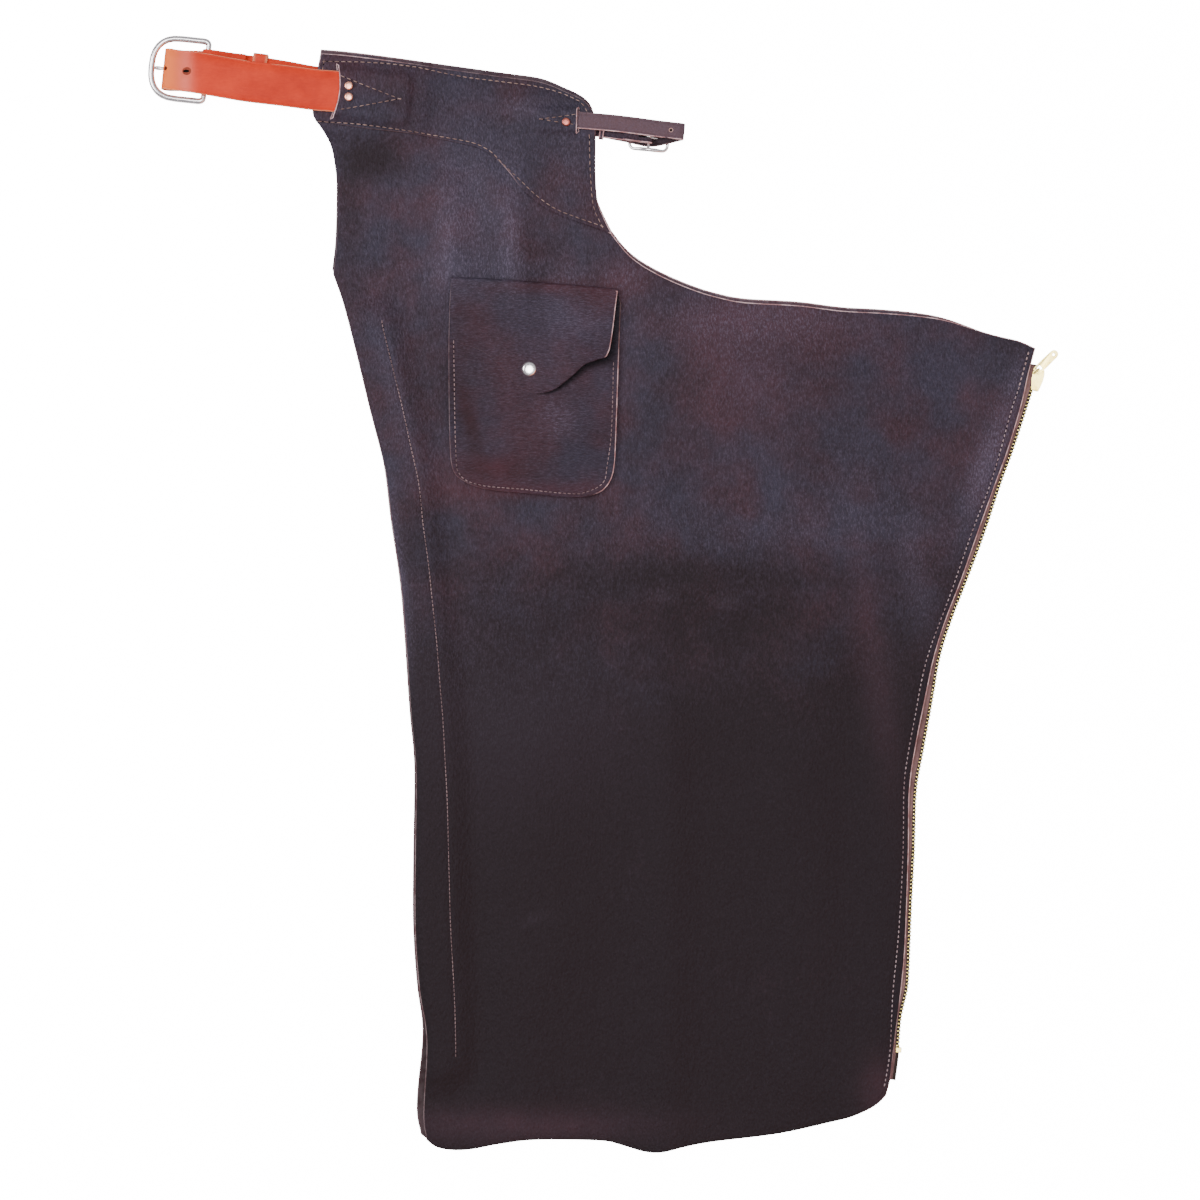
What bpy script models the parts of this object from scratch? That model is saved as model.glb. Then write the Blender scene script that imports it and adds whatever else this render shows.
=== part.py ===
"""Leather chaps: two shotgun-style legs, unzipped, opened out and laid one on the other.

The upper leg lies face up and the lower leg, its mirror image, face down beneath it. The waist
belt and the small crotch strap that join the legs are buckled up, and lie flat as two loops.

Frame: metres, +Z up, the floor at z = 0, +Y towards the waist and +X towards the zip edge.
The tables and the helpers work in millimetres; MM turns them into metres at the end.
"""

import math

import bmesh
import bpy
import numpy as np
from mathutils import Vector
from mathutils.geometry import delaunay_2d_cdt

MM = 0.001
GAP = 0.3  # air between two pieces that are sewn or lie together

# Thickness of each leather and of the zip tape
PANEL = 2.0
YOKE = 2.0
BELT = 3.0
STRAP = 2.4
POCKET = 1.8
TAPE = 1.0

BELT_HALF = 19.5
STRAP_HALF = 8.0
EDGE_STEP = 19.0  # spacing of points along a long cut edge
LATTICE = 31.0  # spacing of the points inside a panel that is folded
FLAT_LATTICE = 95.0  # spacing of the points inside the flat lower panel

# Zip, size 10
TEETH_WIDTH = 3.3
TEETH_HEIGHT = 4.2
TAPE_SHOWN = 4.5
TAPE_HIDDEN = 8.0
SIDE_TAPE = 11.0  # from the seam to the edge of a tape that is hidden
SEAM_ALLOWANCE = 3.0
ZIP_STEP = 22.0

# The cut edges of a leg, each run a smooth curve from corner to corner: (across, up)
WAIST_AND_FRONT = [
    (-268, 514), (-243, 512), (-202, 507), (-152, 500), (-94, 492), (-59, 487), (-36, 478), (-18, 469),
    (-9, 457), (-7, 437), (-7, 400), (-5, 374), (1, 358), (9, 342)]
CROTCH = [
    (9, 342), (22, 326), (35, 315), (52, 305), (69, 297), (89, 289), (109, 283), (135, 278), (186, 275),
    (227, 270), (264, 268), (301, 265), (330, 260), (371, 247), (395, 241), (411, 234)]
ZIP_EDGE = [
    (411, 234), (404, 208), (397, 181), (383, 139), (370, 106), (352, 56), (338, 16), (323, -24),
    (311, -59), (303, -96), (295, -146), (289, -186), (289, -243), (287, -290), (285, -338),
    (282, -371), (279, -400), (277, -423), (275, -444), (273, -461), (269, -476)]
HEM = [
    (269, -476), (260, -485), (243, -494), (225, -500), (168, -513), (105, -521), (77, -526), (55, -531),
    (38, -530), (17, -524), (-3, -520), (-64, -519), (-98, -523), (-124, -528), (-143, -529),
    (-159, -526), (-168, -519)]
SIDE = [
    (-168, -519), (-171, -495), (-168, -439), (-169, -411), (-175, -375), (-179, -319), (-179, -255),
    (-178, -184), (-179, -153), (-183, -112), (-191, -4), (-201, 66), (-208, 120), (-222, 176),
    (-235, 230), (-247, 276), (-257, 305)]
NECK = [
    (-257, 305), (-254, 334), (-253, 384), (-255, 406), (-259, 427), (-267, 442), (-273, 450)]
YOKE_END = [(-273, 450), (-276, 458), (-272, 486), (-268, 514)]
YOKE_LOWER = [
    (9, 342), (-1, 346), (-30, 356), (-55, 367), (-75, 383), (-90, 402), (-104, 416), (-121, 425),
    (-147, 431), (-178, 437), (-230, 443), (-273, 450)]

# The seam that holds the hidden half of the zip, and the outer edge of the teeth that show
SEAM = [
    (-209, 253), (-200, 216), (-183, 142), (-175, 105), (-166, 30), (-158, -46), (-152, -121),
    (-148, -197), (-145, -311), (-141, -387), (-140, -438)]
TEETH = [
    (408, 190), (389, 139), (376, 106), (359, 56), (344, 16), (329, -24), (317, -59), (310, -96),
    (303, -146), (296, -186), (295, -243), (292, -290), (290, -338), (289, -371), (286, -388),
    (283, -404), (282, -429)]
TEETH_IN_SLIDER = [(413, 213), (411, 204)]  # the teeth go on up through the slider
TAPE_TOP = [(414, 218)]
TAPE_FOOT = [(281.9, -429.6), (281.2, -440), (278.2, -462)]  # its stiff end, past the box

# Pocket: the sewn pouch, and the flap with its fold line at the top
POUCH = [
    (-146, 276), (-147, 229), (-146, 148), (-143, 119), (-133, 108), (-112, 100), (-76, 96), (-27, 92),
    (-5, 96), (6, 106), (11, 123), (13, 164), (15, 223), (17, 277)]
FLAP_FOLD = [(-144, 299), (14, 288)]
FLAP_EDGE = [
    (14, 288), (6, 231), (-4, 223), (-17, 218), (-27, 209), (-38, 200), (-49, 193), (-64, 191),
    (-81, 197), (-101, 220), (-117, 232), (-143, 246), (-144, 299)]
SNAP_AT = (-70, 214)
SNAP_RADIUS = 7.2
SNAP_HEIGHT = 2.6
FOLD_ARCS = 4
FOLD_REACH = 0.9  # how far the fold stands out, as a part of its half height
POUCH_BULGE = 2.2

# Soft folds of the upper leg, ridges with a bell-shaped section
#    from x    y     to x    y   half width  height
FOLDS = [
    (-93, 403, -84, 300, 20, 3.5),
    (-152, 384, -141, 305, 20, 3.5),
    (-150, 28, 320, 12, 46, 3.5),
    (95, 220, 270, 190, 55, 4.0),
    (62, -120, 60, -540, 22, 5.5),
    (-62, -150, -80, -480, 45, 3.5),
    (190, -70, 205, -450, 45, 3.5),
    (100, 14, 126, -4, 20, 2.5)]

# The mirrored lower leg lies a little up and to the left of the upper one
LOWER_PIVOT = (-170, -500)
LOWER_SHIFT = (-2.4, 4.8)
LOWER_TURN = math.radians(-0.1)
LOWER_ZIP_SHIFT = -8.6  # the lower hidden zip lies beside the upper one
RIGHT_LIFT = 5.8  # how far the stacked zips raise the upper panel
LEFT_LIFT = 5.8

# Centre lines of the straps, seen from above
BELT_TOP = [
    (-187, 470), (-252, 477), (-272, 478.5), (-300, 482), (-335, 486), (-354, 489), (-383, 494),
    (-410.9, 498)]
BELT_UNDER = [(-410.9, 499), (-377, 498), (-335, 493), (-302, 488), (-272, 483), (-187, 473)]
STRAP_TOP = [(-44, 450.6), (-24, 450), (13, 447), (52, 442), (74, 439.5)]
STRAP_UNDER = [(44, 437), (26, 439), (5, 442), (-10, 444), (-44, 447)]
STRAP_TAIL = [(74, 439.5), (62, 436.5), (49, 434.5), (38, 435), (5, 442), (-2.0, 443)]

# A tuck is where a strap goes down through a slit and on under the yoke
# at: the slit's centre; to: where the strap ends; ramp: width of the yoke's slope down beside the strap
BELT_TUCK = {"at": (-252, 477), "to": (-187, 470), "half": BELT_HALF, "thick": BELT, "ramp": 6.0}
STRAP_TUCK = {"at": (-24, 450), "to": (-60, 450.8), "half": STRAP_HALF, "thick": STRAP, "ramp": 3.4}
SLIT_WIDTH = 1.2
TUCK_SLOPE = 22.0
TAIL_END_RAMP = 8.0
COVER = 0.5  # the yoke stays level this far beside a tucked strap

# Soft edge of the upper panel's rise over the straps: (spread, ramp), and the same for the lower panel
UPPER_SWELL = (9.0, 22.0)
LOWER_SWELL = (5.0, 10.0)
LOWER_YOKE_FOOT = 9.0  # width of the lower panel's slope off its own yoke

# Belt buckle: a horseshoe of round wire, slimmer at the heel bar that the buckle strap goes round
BAR = 2.6
BOW = 3.0
BAR_Z = 9.8
BUCKLE_HALF = 28.6
BUCKLE_ARM = 26.0  # length of its straight sides
BUCKLE_END = 26.2  # reach of its round end beyond them
BUCKLE_SQUARENESS = 2 / 2.55  # power that makes the round end a little square
PRONG = 1.6
PRONG_TIP = (50.5, 4.9)  # along the buckle, height
PRONG_SLOT = (30, 4.6, 18)
HEEL_AT = (-377.0, 496.5)
HEEL_TURN = math.radians(174)
PRONG_ACROSS = 0.5
BELT_FOLD = (-410.2, 498.5, 15.0)  # where the belt turns down through the buckle
OVER_BUCKLE = 0.5  # further air between the two straps over the heel bar
HOLE = 1.95  # radius of a hole in the belt
SPARE_HOLE = (-395, 495.8)
FOLD_HOLE_TURN = math.radians(52)

# Each keeper is a band; low and high are the heights inside it
BELT_KEEPER = {"at": (-328, 492), "turn": -0.131, "low": 1.5, "high": 8.6, "wall": 1.5, "length": 14.0}
CROTCH_KEEPER = {"at": (-0.9, 442.8), "turn": -0.121, "low": 1.3, "high": 7.5, "wall": 1.2, "length": 4.6}

# Small buckle: a bowed frame with its bar across the middle
SMALL_BUCKLE_AT = (44.0, 435.0)
SMALL_BUCKLE_TURN = math.radians(-6)
SMALL_BAR = 1.5
SMALL_ARM = 1.9  # radius of its two sides
SMALL_BAR_Z = 7.2
SMALL_PRONG = 1.1
SMALL_PRONG_SLOT = (20, 3.4, 12)
SMALL_HOLE = 1.0
SMALL_HALF = 12.0
SMALL_REACH = 18.0
SMALL_CORNER = 5.0
SMALL_SPARE_HOLE = (64.5, 440.5)
STRAP_TOP_Z = 13.2  # middle of the small strap where it comes over its buckle
STRAP_LOW_Z = 7.5

# Rivets:       name            centre        radius
RIVETS = [
    ("belt_rivet_top", (-241, 482), 4.1),
    ("belt_rivet_bottom", (-241, 471.5), 4.1),
    ("crotch_rivet", (-35, 448), 4.0)]
RIVET_HEIGHT = 1.5

# The zip's slider, its pull tab, and the box at its foot
SLIDER_AT = (412.5, 204.0)
SLIDER_TURN = math.radians(-103)  # the way down the zip
ZIP_PLANE = PANEL + RIGHT_LIFT - TAPE / 2
CHANNEL = TEETH_HEIGHT + 2 * GAP
PLATE = 1.5
SLIDER_SHAPE = [
    (-10, 4.6), (-6.5, 5.6), (0, 5.6), (10.5, 3.6), (10.5, -3.6), (0, -5.6), (-6.5, -5.6), (-10, -4.6)]
POST_SHAPE = [(-9.5, 0.9), (-7.5, 1.2), (-4, 0), (-7.5, -1.2), (-9.5, -0.9)]
BRIDGE = 0.9
BRIDGE_REACH = 2.9
BRIDGE_RISE = 4.2
PULL_AT = (411.5, 212.0)  # a point of its hinge line
PULL_TURN = math.radians(44)  # the way the tab points at rest
PULL_LENGTH = 27.0
PULL_HALF = 4.3
PULL_THICK = 1.8
PULL_RISE = 1.6
PULL_HOLE = 1.3
BOX_AT = (281.0, -433.0)
BOX_TURN = math.radians(85)
BOX_SIZE = (4.8, 5.4, 4.6)

LEATHER = ("oiled_leather", (0.060, 0.035, 0.045), 0.5, 0.0)
TAN = ("belt_leather", (0.60, 0.13, 0.06), 0.45, 0.0)
STEEL = ("nickel", (0.70, 0.69, 0.68), 0.25, 1.0)
COPPER = ("copper", (0.90, 0.55, 0.42), 0.35, 1.0)
BRASS = ("brass", (0.78, 0.62, 0.30), 0.35, 1.0)
ZIP_CLOTH = ("zip_tape", (0.13, 0.06, 0.05), 0.85, 0.0)


# ---------------------------------------------------------------- curves and distances

def smooth(run, step):
    """Points about step apart on a Catmull-Rom curve through the run's points."""
    knots = [np.array(p, float) for p in run]
    knots = [2 * knots[0] - knots[1]] + knots + [2 * knots[-1] - knots[-2]]
    points = [knots[1]]
    for a, b, c, d in zip(knots, knots[1:], knots[2:], knots[3:]):
        pieces = max(1, round(float(np.linalg.norm(c - b)) / step))
        for i in range(1, pieces + 1):
            t = i / pieces
            points.append(0.5 * (2 * b + (c - a) * t + (2 * a - 5 * b + 4 * c - d) * t * t
                                 + (3 * b - a - 3 * c + d) * t ** 3))
    return points


def spaced(line, step):
    """The same line with points at even distances along it."""
    line = np.array(smooth(line, 4.0))
    along = np.concatenate([[0], np.cumsum(np.linalg.norm(np.diff(line, axis=0), axis=1))])
    stations = np.linspace(0, along[-1], max(2, round(along[-1] / step)) + 1)
    return [np.array([np.interp(s, along, line[:, k]) for k in range(line.shape[1])]) for s in stations]


def outline(step, *runs):
    """A closed outline: the runs end to end, each with its own smooth curve."""
    points = []
    for run in runs:
        points += smooth(run, step)[:-1]
    return points


def offset(line, distance):
    """The line moved to its left by a distance, at each of its points."""
    line = np.array(line, float)
    along = np.gradient(line, axis=0)
    along /= np.linalg.norm(along, axis=1)[:, None]
    return list(line + distance * np.stack([-along[:, 1], along[:, 0]], axis=1))


def distance_to(points, line):
    """Distance of each point from a line of many points."""
    points, line = np.atleast_2d(points), np.array(line, float)
    start, end = line[:-1], line[1:]
    run = end - start
    t = ((points[:, None] - start) * run).sum(2) / np.maximum((run ** 2).sum(1), 1e-9)
    nearest = start + np.clip(t, 0, 1)[:, :, None] * run
    return np.linalg.norm(points[:, None] - nearest, axis=2).min(1)


def inside(points, loop):
    """Whether each point lies in a closed outline."""
    points, loop = np.atleast_2d(points), np.array(loop, float)
    a, b = loop, np.roll(loop, -1, axis=0)
    x, y = points[:, :1], points[:, 1:]
    crosses = (a[:, 1] > y) != (b[:, 1] > y)
    level = np.where(a[:, 1] == b[:, 1], 1.0, b[:, 1] - a[:, 1])
    reach = a[:, 0] + (y - a[:, 1]) * (b[:, 0] - a[:, 0]) / level
    return (crosses & (x < reach)).sum(1) % 2 == 1


def outside(points, loop):
    """How far each point lies outside a closed outline, 0 within it."""
    closed = np.vstack([loop, loop[:1]])
    return np.where(inside(points, loop), 0.0, distance_to(points, closed))


def ease(t):
    """0 up to t = 0, 1 from t = 1 on, and a soft step between."""
    t = np.clip(t, 0.0, 1.0)
    return t * t * (3 - 2 * t)


def lowered(points):
    """Points of the upper leg carried to the same place on the lower leg."""
    c, s = math.cos(LOWER_TURN), math.sin(LOWER_TURN)
    p = np.array(points, float) - LOWER_PIVOT
    turned = np.stack([p[:, 0] * c - p[:, 1] * s, p[:, 0] * s + p[:, 1] * c], axis=1)
    return list(turned + LOWER_PIVOT + LOWER_SHIFT)


# ---------------------------------------------------------------- outlines

PANEL_LOOP = outline(EDGE_STEP, WAIST_AND_FRONT, CROTCH, ZIP_EDGE, HEM, SIDE, NECK, YOKE_END)
YOKE_LOOP = outline(EDGE_STEP, WAIST_AND_FRONT, YOKE_LOWER, YOKE_END)
YOKE_SEAM = smooth(YOKE_LOWER, EDGE_STEP)
ZIP_EDGE_LINE = smooth(ZIP_EDGE, EDGE_STEP)
SIDE_LINE = smooth(SIDE, EDGE_STEP)
SEAM_LINE = spaced(SEAM, ZIP_STEP)
LOWER_TEETH_LINE = lowered(spaced(TEETH, ZIP_STEP))
UPPER_TEETH_LINE = spaced(TEETH_IN_SLIDER + TEETH, ZIP_STEP)
POUCH_LOOP = smooth(POUCH, 14.0) + [np.array(FLAP_FOLD[1], float), np.array(FLAP_FOLD[0], float)]
FLAP_LOOP = [np.array(FLAP_FOLD[0], float)] + smooth(FLAP_EDGE, 14.0)[:-1]


def tuck_frame(tuck):
    """The slit's centre, the unit vector on under the yoke, and the one across it."""
    at = np.array(tuck["at"], float)
    way = np.array(tuck["to"], float) - at
    length = float(np.linalg.norm(way))
    way /= length
    return at, way, np.array([-way[1], way[0]]), length


def tuck_slope(tuck):
    """Length of the slope on which a strap comes up from its tail to the slit."""
    return min(TUCK_SLOPE, 0.45 * tuck_frame(tuck)[3])


def tuck_box(tuck, start, end, half):
    """Corners of a rectangle along the tuck."""
    at, way, across, _ = tuck_frame(tuck)
    return [at + way * u + across * v for u, v in ((start, -half), (end, -half), (end, half), (start, half))]


def tuck_lines(tuck):
    """Lines on which the yoke over a tucked strap changes slope."""
    length = tuck_frame(tuck)[3]
    near = SLIT_WIDTH / 2
    flat, foot = tuck["half"] + COVER, tuck["half"] + COVER + tuck["ramp"]
    cross = [tuck_box(tuck, near, tuck_slope(tuck) * k / 3, flat) for k in (1, 2, 3)]
    cover = tuck_box(tuck, near, length + 1, flat)
    around = tuck_box(tuck, near, length + 1 + TAIL_END_RAMP, foot)
    return [cover, around] + cross


def slit(tuck):
    """The slit's outline, as long as the strap is wide with the ramp on each side."""
    return tuck_box(tuck, -SLIT_WIDTH / 2, SLIT_WIDTH / 2, tuck["half"] + COVER + tuck["ramp"])


# ---------------------------------------------------------------- heights of the layers

def strap_patch(points, tuck, spread, ramp, both_ways):
    """1 over a strap's tail, falling to 0 within a ramp outside it."""
    at, way, across, length = tuck_frame(tuck)
    p = np.atleast_2d(points) - at
    u, v = p @ way, np.abs(p @ across)
    beside = 1 - ease((v - tuck["half"] - spread) / ramp)
    beyond = 1 - ease((u - length - spread) / ramp)
    if both_ways:
        return beside * beyond
    return beside * (1 - ease((u - length - 1) / TAIL_END_RAMP)) * (u > 0)


def lower_underside(points):
    """Underside of the lower panel: raised over its yoke and over the straps between them."""
    points = np.atleast_2d(points)
    height = (YOKE + GAP) * (1 - ease((outside(points, lowered(YOKE_LOOP)) - COVER) / LOWER_YOKE_FOOT))
    for tuck in (BELT_TUCK, STRAP_TUCK):
        height = height + (tuck["thick"] + GAP) * strap_patch(points, tuck, *LOWER_SWELL, True)
    return height


def folds(points):
    """Height of the soft folds, which die away at the zip, the seam, the yoke and the pocket's sewing."""
    points = np.atleast_2d(points)
    height = np.zeros(len(points))
    for x0, y0, x1, y1, width, rise in FOLDS:
        height = height + rise * np.exp(-(distance_to(points, [(x0, y0), (x1, y1)]) / width) ** 2)
    quiet = ease((distance_to(points, ZIP_EDGE_LINE) - 20) / 40)
    quiet = quiet * ease((distance_to(points, SEAM_LINE) - 14) / 35)
    quiet = quiet * ease(outside(points, YOKE_LOOP) / 25)
    return height * quiet


def upper_underside(points):
    """Underside of the upper panel: over all that lies under it, plus its own folds."""
    points = np.atleast_2d(points)
    height = PANEL + GAP + (YOKE + GAP + 0.3) * (1 - ease(outside(points, YOKE_LOOP) / 30))
    for tuck in (BELT_TUCK, STRAP_TUCK):
        height = height + (tuck["thick"] + GAP) * strap_patch(points, tuck, *UPPER_SWELL, True)
    height = height + RIGHT_LIFT * (1 - ease((distance_to(points, ZIP_EDGE_LINE) - 18) / 50))
    hidden_zip = offset(SEAM_LINE, -15.0)
    over_zip = LEFT_LIFT * (1 - ease((distance_to(points, hidden_zip) - 12) / 32))
    at_edge = 0.4 + 0.6 * ease(distance_to(points, SIDE_LINE) / 4.0)
    return height + over_zip * at_edge + folds(points)


def upper_top(points):
    """Top of the upper panel."""
    return upper_underside(points) + PANEL


def yoke_lift(points):
    """How far a tucked strap raises the upper yoke off the panel."""
    height = np.zeros(len(np.atleast_2d(points)))
    for tuck in (BELT_TUCK, STRAP_TUCK):
        at, way, _, _ = tuck_frame(tuck)
        u = (np.atleast_2d(points) - at) @ way
        step = tuck["thick"] + GAP + (YOKE + GAP) * tuck_rise(tuck, u)
        height = height + step * strap_patch(points, tuck, COVER, tuck["ramp"], False)
    return height


def tuck_rise(tuck, u):
    """1 at the slit, 0 where the tail lies flat, in three straight steps."""
    stations = np.array([0.0, 1 / 3, 2 / 3, 1.0])
    return np.interp(np.asarray(u) / tuck_slope(tuck), stations, 1 - ease(stations))


def yoke_underside(points):
    """Underside of the upper yoke, over its panel and the tucked straps."""
    return upper_top(points) + GAP + yoke_lift(points)


def pouch_underside(points, layers):
    """Underside of a pocket layer, which stands off the panel a little away from its sewing."""
    points = np.atleast_2d(points)
    sewn = distance_to(points, smooth(POUCH, 14.0))
    bulge = POUCH_BULGE * ease((sewn - 8) / 40) * (layers > 0)
    return upper_top(points) + GAP + layers * (POCKET + GAP) + bulge


# ---------------------------------------------------------------- solids

def material(finish):
    """The Principled material of a finish, made once."""
    name, colour, roughness, metallic = finish
    found = bpy.data.materials.get(name)
    if found:
        return found
    made = bpy.data.materials.new(name)
    made.use_nodes = True
    shader = made.node_tree.nodes["Principled BSDF"]
    shader.inputs["Base Color"].default_value = (*colour, 1)
    shader.inputs["Roughness"].default_value = roughness
    shader.inputs["Metallic"].default_value = metallic
    return made


def add(name, mesh_or_curve, finish, collection):
    """A new object with its finish, in its collection."""
    obj = bpy.data.objects.new(name, mesh_or_curve)
    obj.data.materials.clear()
    obj.data.materials.append(material(finish))
    collection.objects.link(obj)
    return obj


def solid(name, points, faces, finish, collection, smooth_angle=40):
    """A closed body from its points in millimetres and its faces."""
    mesh = bpy.data.meshes.new(name)
    mesh.from_pydata([tuple(float(c) * MM for c in p) for p in points], [], faces)
    made = bmesh.new()
    made.from_mesh(mesh)
    bmesh.ops.recalc_face_normals(made, faces=made.faces)
    made.to_mesh(mesh)
    made.free()
    mesh.shade_smooth()
    mesh.set_sharp_from_angle(angle=math.radians(smooth_angle))
    return add(name, mesh, finish, collection)


def planar_mesh(loops, lines, lattice, region):
    """Triangles that respect every loop and line, with lattice points inside a region."""
    points, edges = [], []
    for chain, closed in [(c, True) for c in loops] + [(c, False) for c in lines]:
        first = len(points)
        points += [tuple(p) for p in chain]
        edges += [(first + i, first + i + 1) for i in range(len(chain) - 1)]
        if closed:
            edges.append((len(points) - 1, first))
    fixed = np.array(points)
    low, high = np.min(region, axis=0), np.max(region, axis=0)
    grid = []
    for j in range(int((high[1] - low[1]) / (lattice * 0.87)) + 1):
        for i in range(int((high[0] - low[0]) / lattice) + 1):
            grid.append((low[0] + (i + 0.5 * (j % 2)) * lattice, low[1] + j * lattice * 0.87))
    grid = np.array(grid)
    grid = grid[inside(grid, region)]
    clear = np.array([np.linalg.norm(fixed - g, axis=1).min() > lattice * 0.42 for g in grid])
    clear &= distance_to(grid, np.vstack([region, region[:1]])) > lattice * 0.35
    for line in lines:
        clear &= distance_to(grid, line) > lattice * 0.3
    points += [tuple(p) for p in grid[clear]]
    made = delaunay_2d_cdt([Vector(p) for p in points], edges, [], 0, 0.05)
    return np.array([tuple(p) for p in made[0]]), [tuple(f) for f in made[2]]


def cut_from(mesh, keep, leave=()):
    """The mesh's triangles inside one outline and outside others."""
    points, faces = mesh
    centres = np.array([points[list(f)].mean(axis=0) for f in faces])
    chosen = inside(centres, keep)
    for hole in leave:
        chosen &= ~inside(centres, hole)
    return [f for f, use in zip(faces, chosen) if use]


def border(faces):
    """The directed edges that only one face uses."""
    used = {(a, b) for f in faces for a, b in zip(f, f[1:] + f[:1])}
    return [edge for edge in used if edge[::-1] not in used]


def slab(name, mesh, faces, underside, thickness, finish, collection):
    """A sheet of one thickness over a height, cut along the faces' border."""
    points = mesh[0]
    used = sorted({i for f in faces for i in f})
    place = {i: n for n, i in enumerate(used)}
    flat = points[used]
    low = underside(flat)
    corners = np.vstack([np.column_stack([flat, low]), np.column_stack([flat, low + thickness])])
    count = len(used)
    skin = [tuple(place[i] for i in f) for f in faces]
    walls = [(a, b, b + count, a + count) for a, b in border(skin)]
    body = [f[::-1] for f in skin] + [tuple(i + count for i in f) for f in skin] + walls
    return solid(name, corners, body, finish, collection)


def strip(name, lines, lows, highs, finish, collection):
    """A band between neighbouring lines of equal length, with a low and a high side."""
    rows, columns = len(lines[0]), len(lines)
    corners = [(*lines[c][r], lows[c][r]) for c in range(columns) for r in range(rows)]
    corners += [(*lines[c][r], highs[c][r]) for c in range(columns) for r in range(rows)]
    count = rows * columns
    skin = [(c * rows + r, c * rows + r + 1, (c + 1) * rows + r + 1, (c + 1) * rows + r)
            for c in range(columns - 1) for r in range(rows - 1)]
    walls = [(a, b, b + count, a + count) for a, b in border(skin)]
    body = [f[::-1] for f in skin] + [tuple(i + count for i in f) for f in skin] + walls
    return solid(name, corners, body, finish, collection)


def ribbon(name, centres, half, thickness, finish, collection):
    """A flat strap along a path; it bends only about the line across it."""
    centres = np.array(centres, float)
    along = np.gradient(centres, axis=0)
    along /= np.linalg.norm(along, axis=1)[:, None]
    level = np.gradient(centres[:, :2], axis=0)
    corners = []
    facing = None
    for centre, way, flat in zip(centres, along, level):
        if np.linalg.norm(flat) > 0.45 * np.linalg.norm(centres[1] - centres[0]):
            turn = np.array([-flat[1], flat[0], 0]) / np.linalg.norm(flat)
            facing = turn if facing is None or turn @ facing > 0 else -turn
        up = np.cross(way, facing)
        up /= np.linalg.norm(up)
        for v, n in ((-1, -1), (1, -1), (1, 1), (-1, 1)):
            corners.append(centre + facing * half * v + up * thickness / 2 * n)
    rings = len(centres)
    body = [(4 * r + k, 4 * r + (k + 1) % 4, 4 * r + 4 + (k + 1) % 4, 4 * r + 4 + k)
            for r in range(rings - 1) for k in range(4)]
    body += [(3, 2, 1, 0), tuple(4 * rings - 4 + k for k in range(4))]
    return solid(name, corners, body, finish, collection)


def wire(name, points, radius, finish, collection, closed=False, radii=None):
    """A round bar along a path, with its own radius at each point if radii are given."""
    curve = bpy.data.curves.new(name, "CURVE")
    curve.dimensions = "3D"
    curve.bevel_depth = radius * MM
    curve.bevel_resolution = 2
    curve.use_fill_caps = True
    spline = curve.splines.new("POLY")
    spline.points.add(len(points) - 1)
    for point, place, own in zip(spline.points, points, radii or [radius] * len(points)):
        point.co = (*(float(c) * MM for c in place), 1)
        point.radius = own / radius
    spline.use_cyclic_u = closed
    return add(name, curve, finish, collection)


def as_mesh(obj):
    """The object as a plain welded mesh, in place of its curve and modifiers."""
    graph = bpy.context.evaluated_depsgraph_get()
    mesh = bpy.data.meshes.new_from_object(obj.evaluated_get(graph))
    welded = bmesh.new()
    welded.from_mesh(mesh)
    bmesh.ops.remove_doubles(welded, verts=welded.verts, dist=1e-6)
    bmesh.ops.recalc_face_normals(welded, faces=welded.faces)
    welded.to_mesh(mesh)
    welded.free()
    name, home, place = obj.name, obj.users_collection[0], obj.matrix_world.copy()
    bpy.data.objects.remove(obj)
    made = bpy.data.objects.new(name, mesh)
    made.matrix_world = place
    home.objects.link(made)
    return made


def combine(obj, other, operation):
    """Cut another object from this one, or join it on; the other becomes a hidden helper."""
    step = obj.modifiers.new(other.name, "BOOLEAN")
    step.operation = operation
    step.object = other
    other.hide_render = True
    other.display_type = "WIRE"


def extruded(name, loops, low, high, finish, collection):
    """A flat outline, with its holes, between two heights."""
    curve = bpy.data.curves.new(name, "CURVE")
    curve.dimensions = "2D"
    curve.fill_mode = "BOTH"
    curve.extrude = (high - low) / 2 * MM
    for loop in loops:
        spline = curve.splines.new("POLY")
        spline.points.add(len(loop) - 1)
        for point, place in zip(spline.points, loop):
            point.co = (place[0] * MM, place[1] * MM, 0, 1)
        spline.use_cyclic_u = True
    obj = add(name, curve, finish, collection)
    obj.location.z = (low + high) / 2 * MM
    return obj


def rod_between(name, start, end, radius, collection, sides=16):
    """A plain cylinder from one point to another, for a hole's cutter."""
    start, end = Vector(start) * MM, Vector(end) * MM
    bpy.ops.mesh.primitive_cylinder_add(vertices=sides, radius=radius * MM, depth=(end - start).length)
    obj = bpy.context.object
    obj.name = name
    obj.location = (start + end) / 2
    obj.rotation_euler = (end - start).to_track_quat("Z", "Y").to_euler()
    for home in list(obj.users_collection):
        home.objects.unlink(obj)
    collection.objects.link(obj)
    return obj


def dome(name, at, base, radius, height, finish, collection, rings=3, sides=20):
    """A shallow cap on a short rim, turned about the upright through at."""
    rim = height * 0.35
    profile = [(0.0, height)]
    for k in range(1, rings + 1):
        angle = k / rings * math.pi / 2
        profile.append((radius * math.sin(angle), rim + (height - rim) * math.cos(angle)))
    profile += [(radius, 0.0), (0.0, 0.0)]
    mesh = bpy.data.meshes.new(name)
    edges = [(i, i + 1) for i in range(len(profile) - 1)]
    mesh.from_pydata([(r * MM, 0, z * MM) for r, z in profile], edges, [])
    obj = add(name, mesh, finish, collection)
    turn = obj.modifiers.new("turn", "SCREW")
    turn.steps = turn.render_steps = sides
    turn.use_merge_vertices = True
    turn.merge_threshold = 1e-5
    obj.location = (at[0] * MM, at[1] * MM, base * MM)
    return obj


# ---------------------------------------------------------------- the legs

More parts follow.
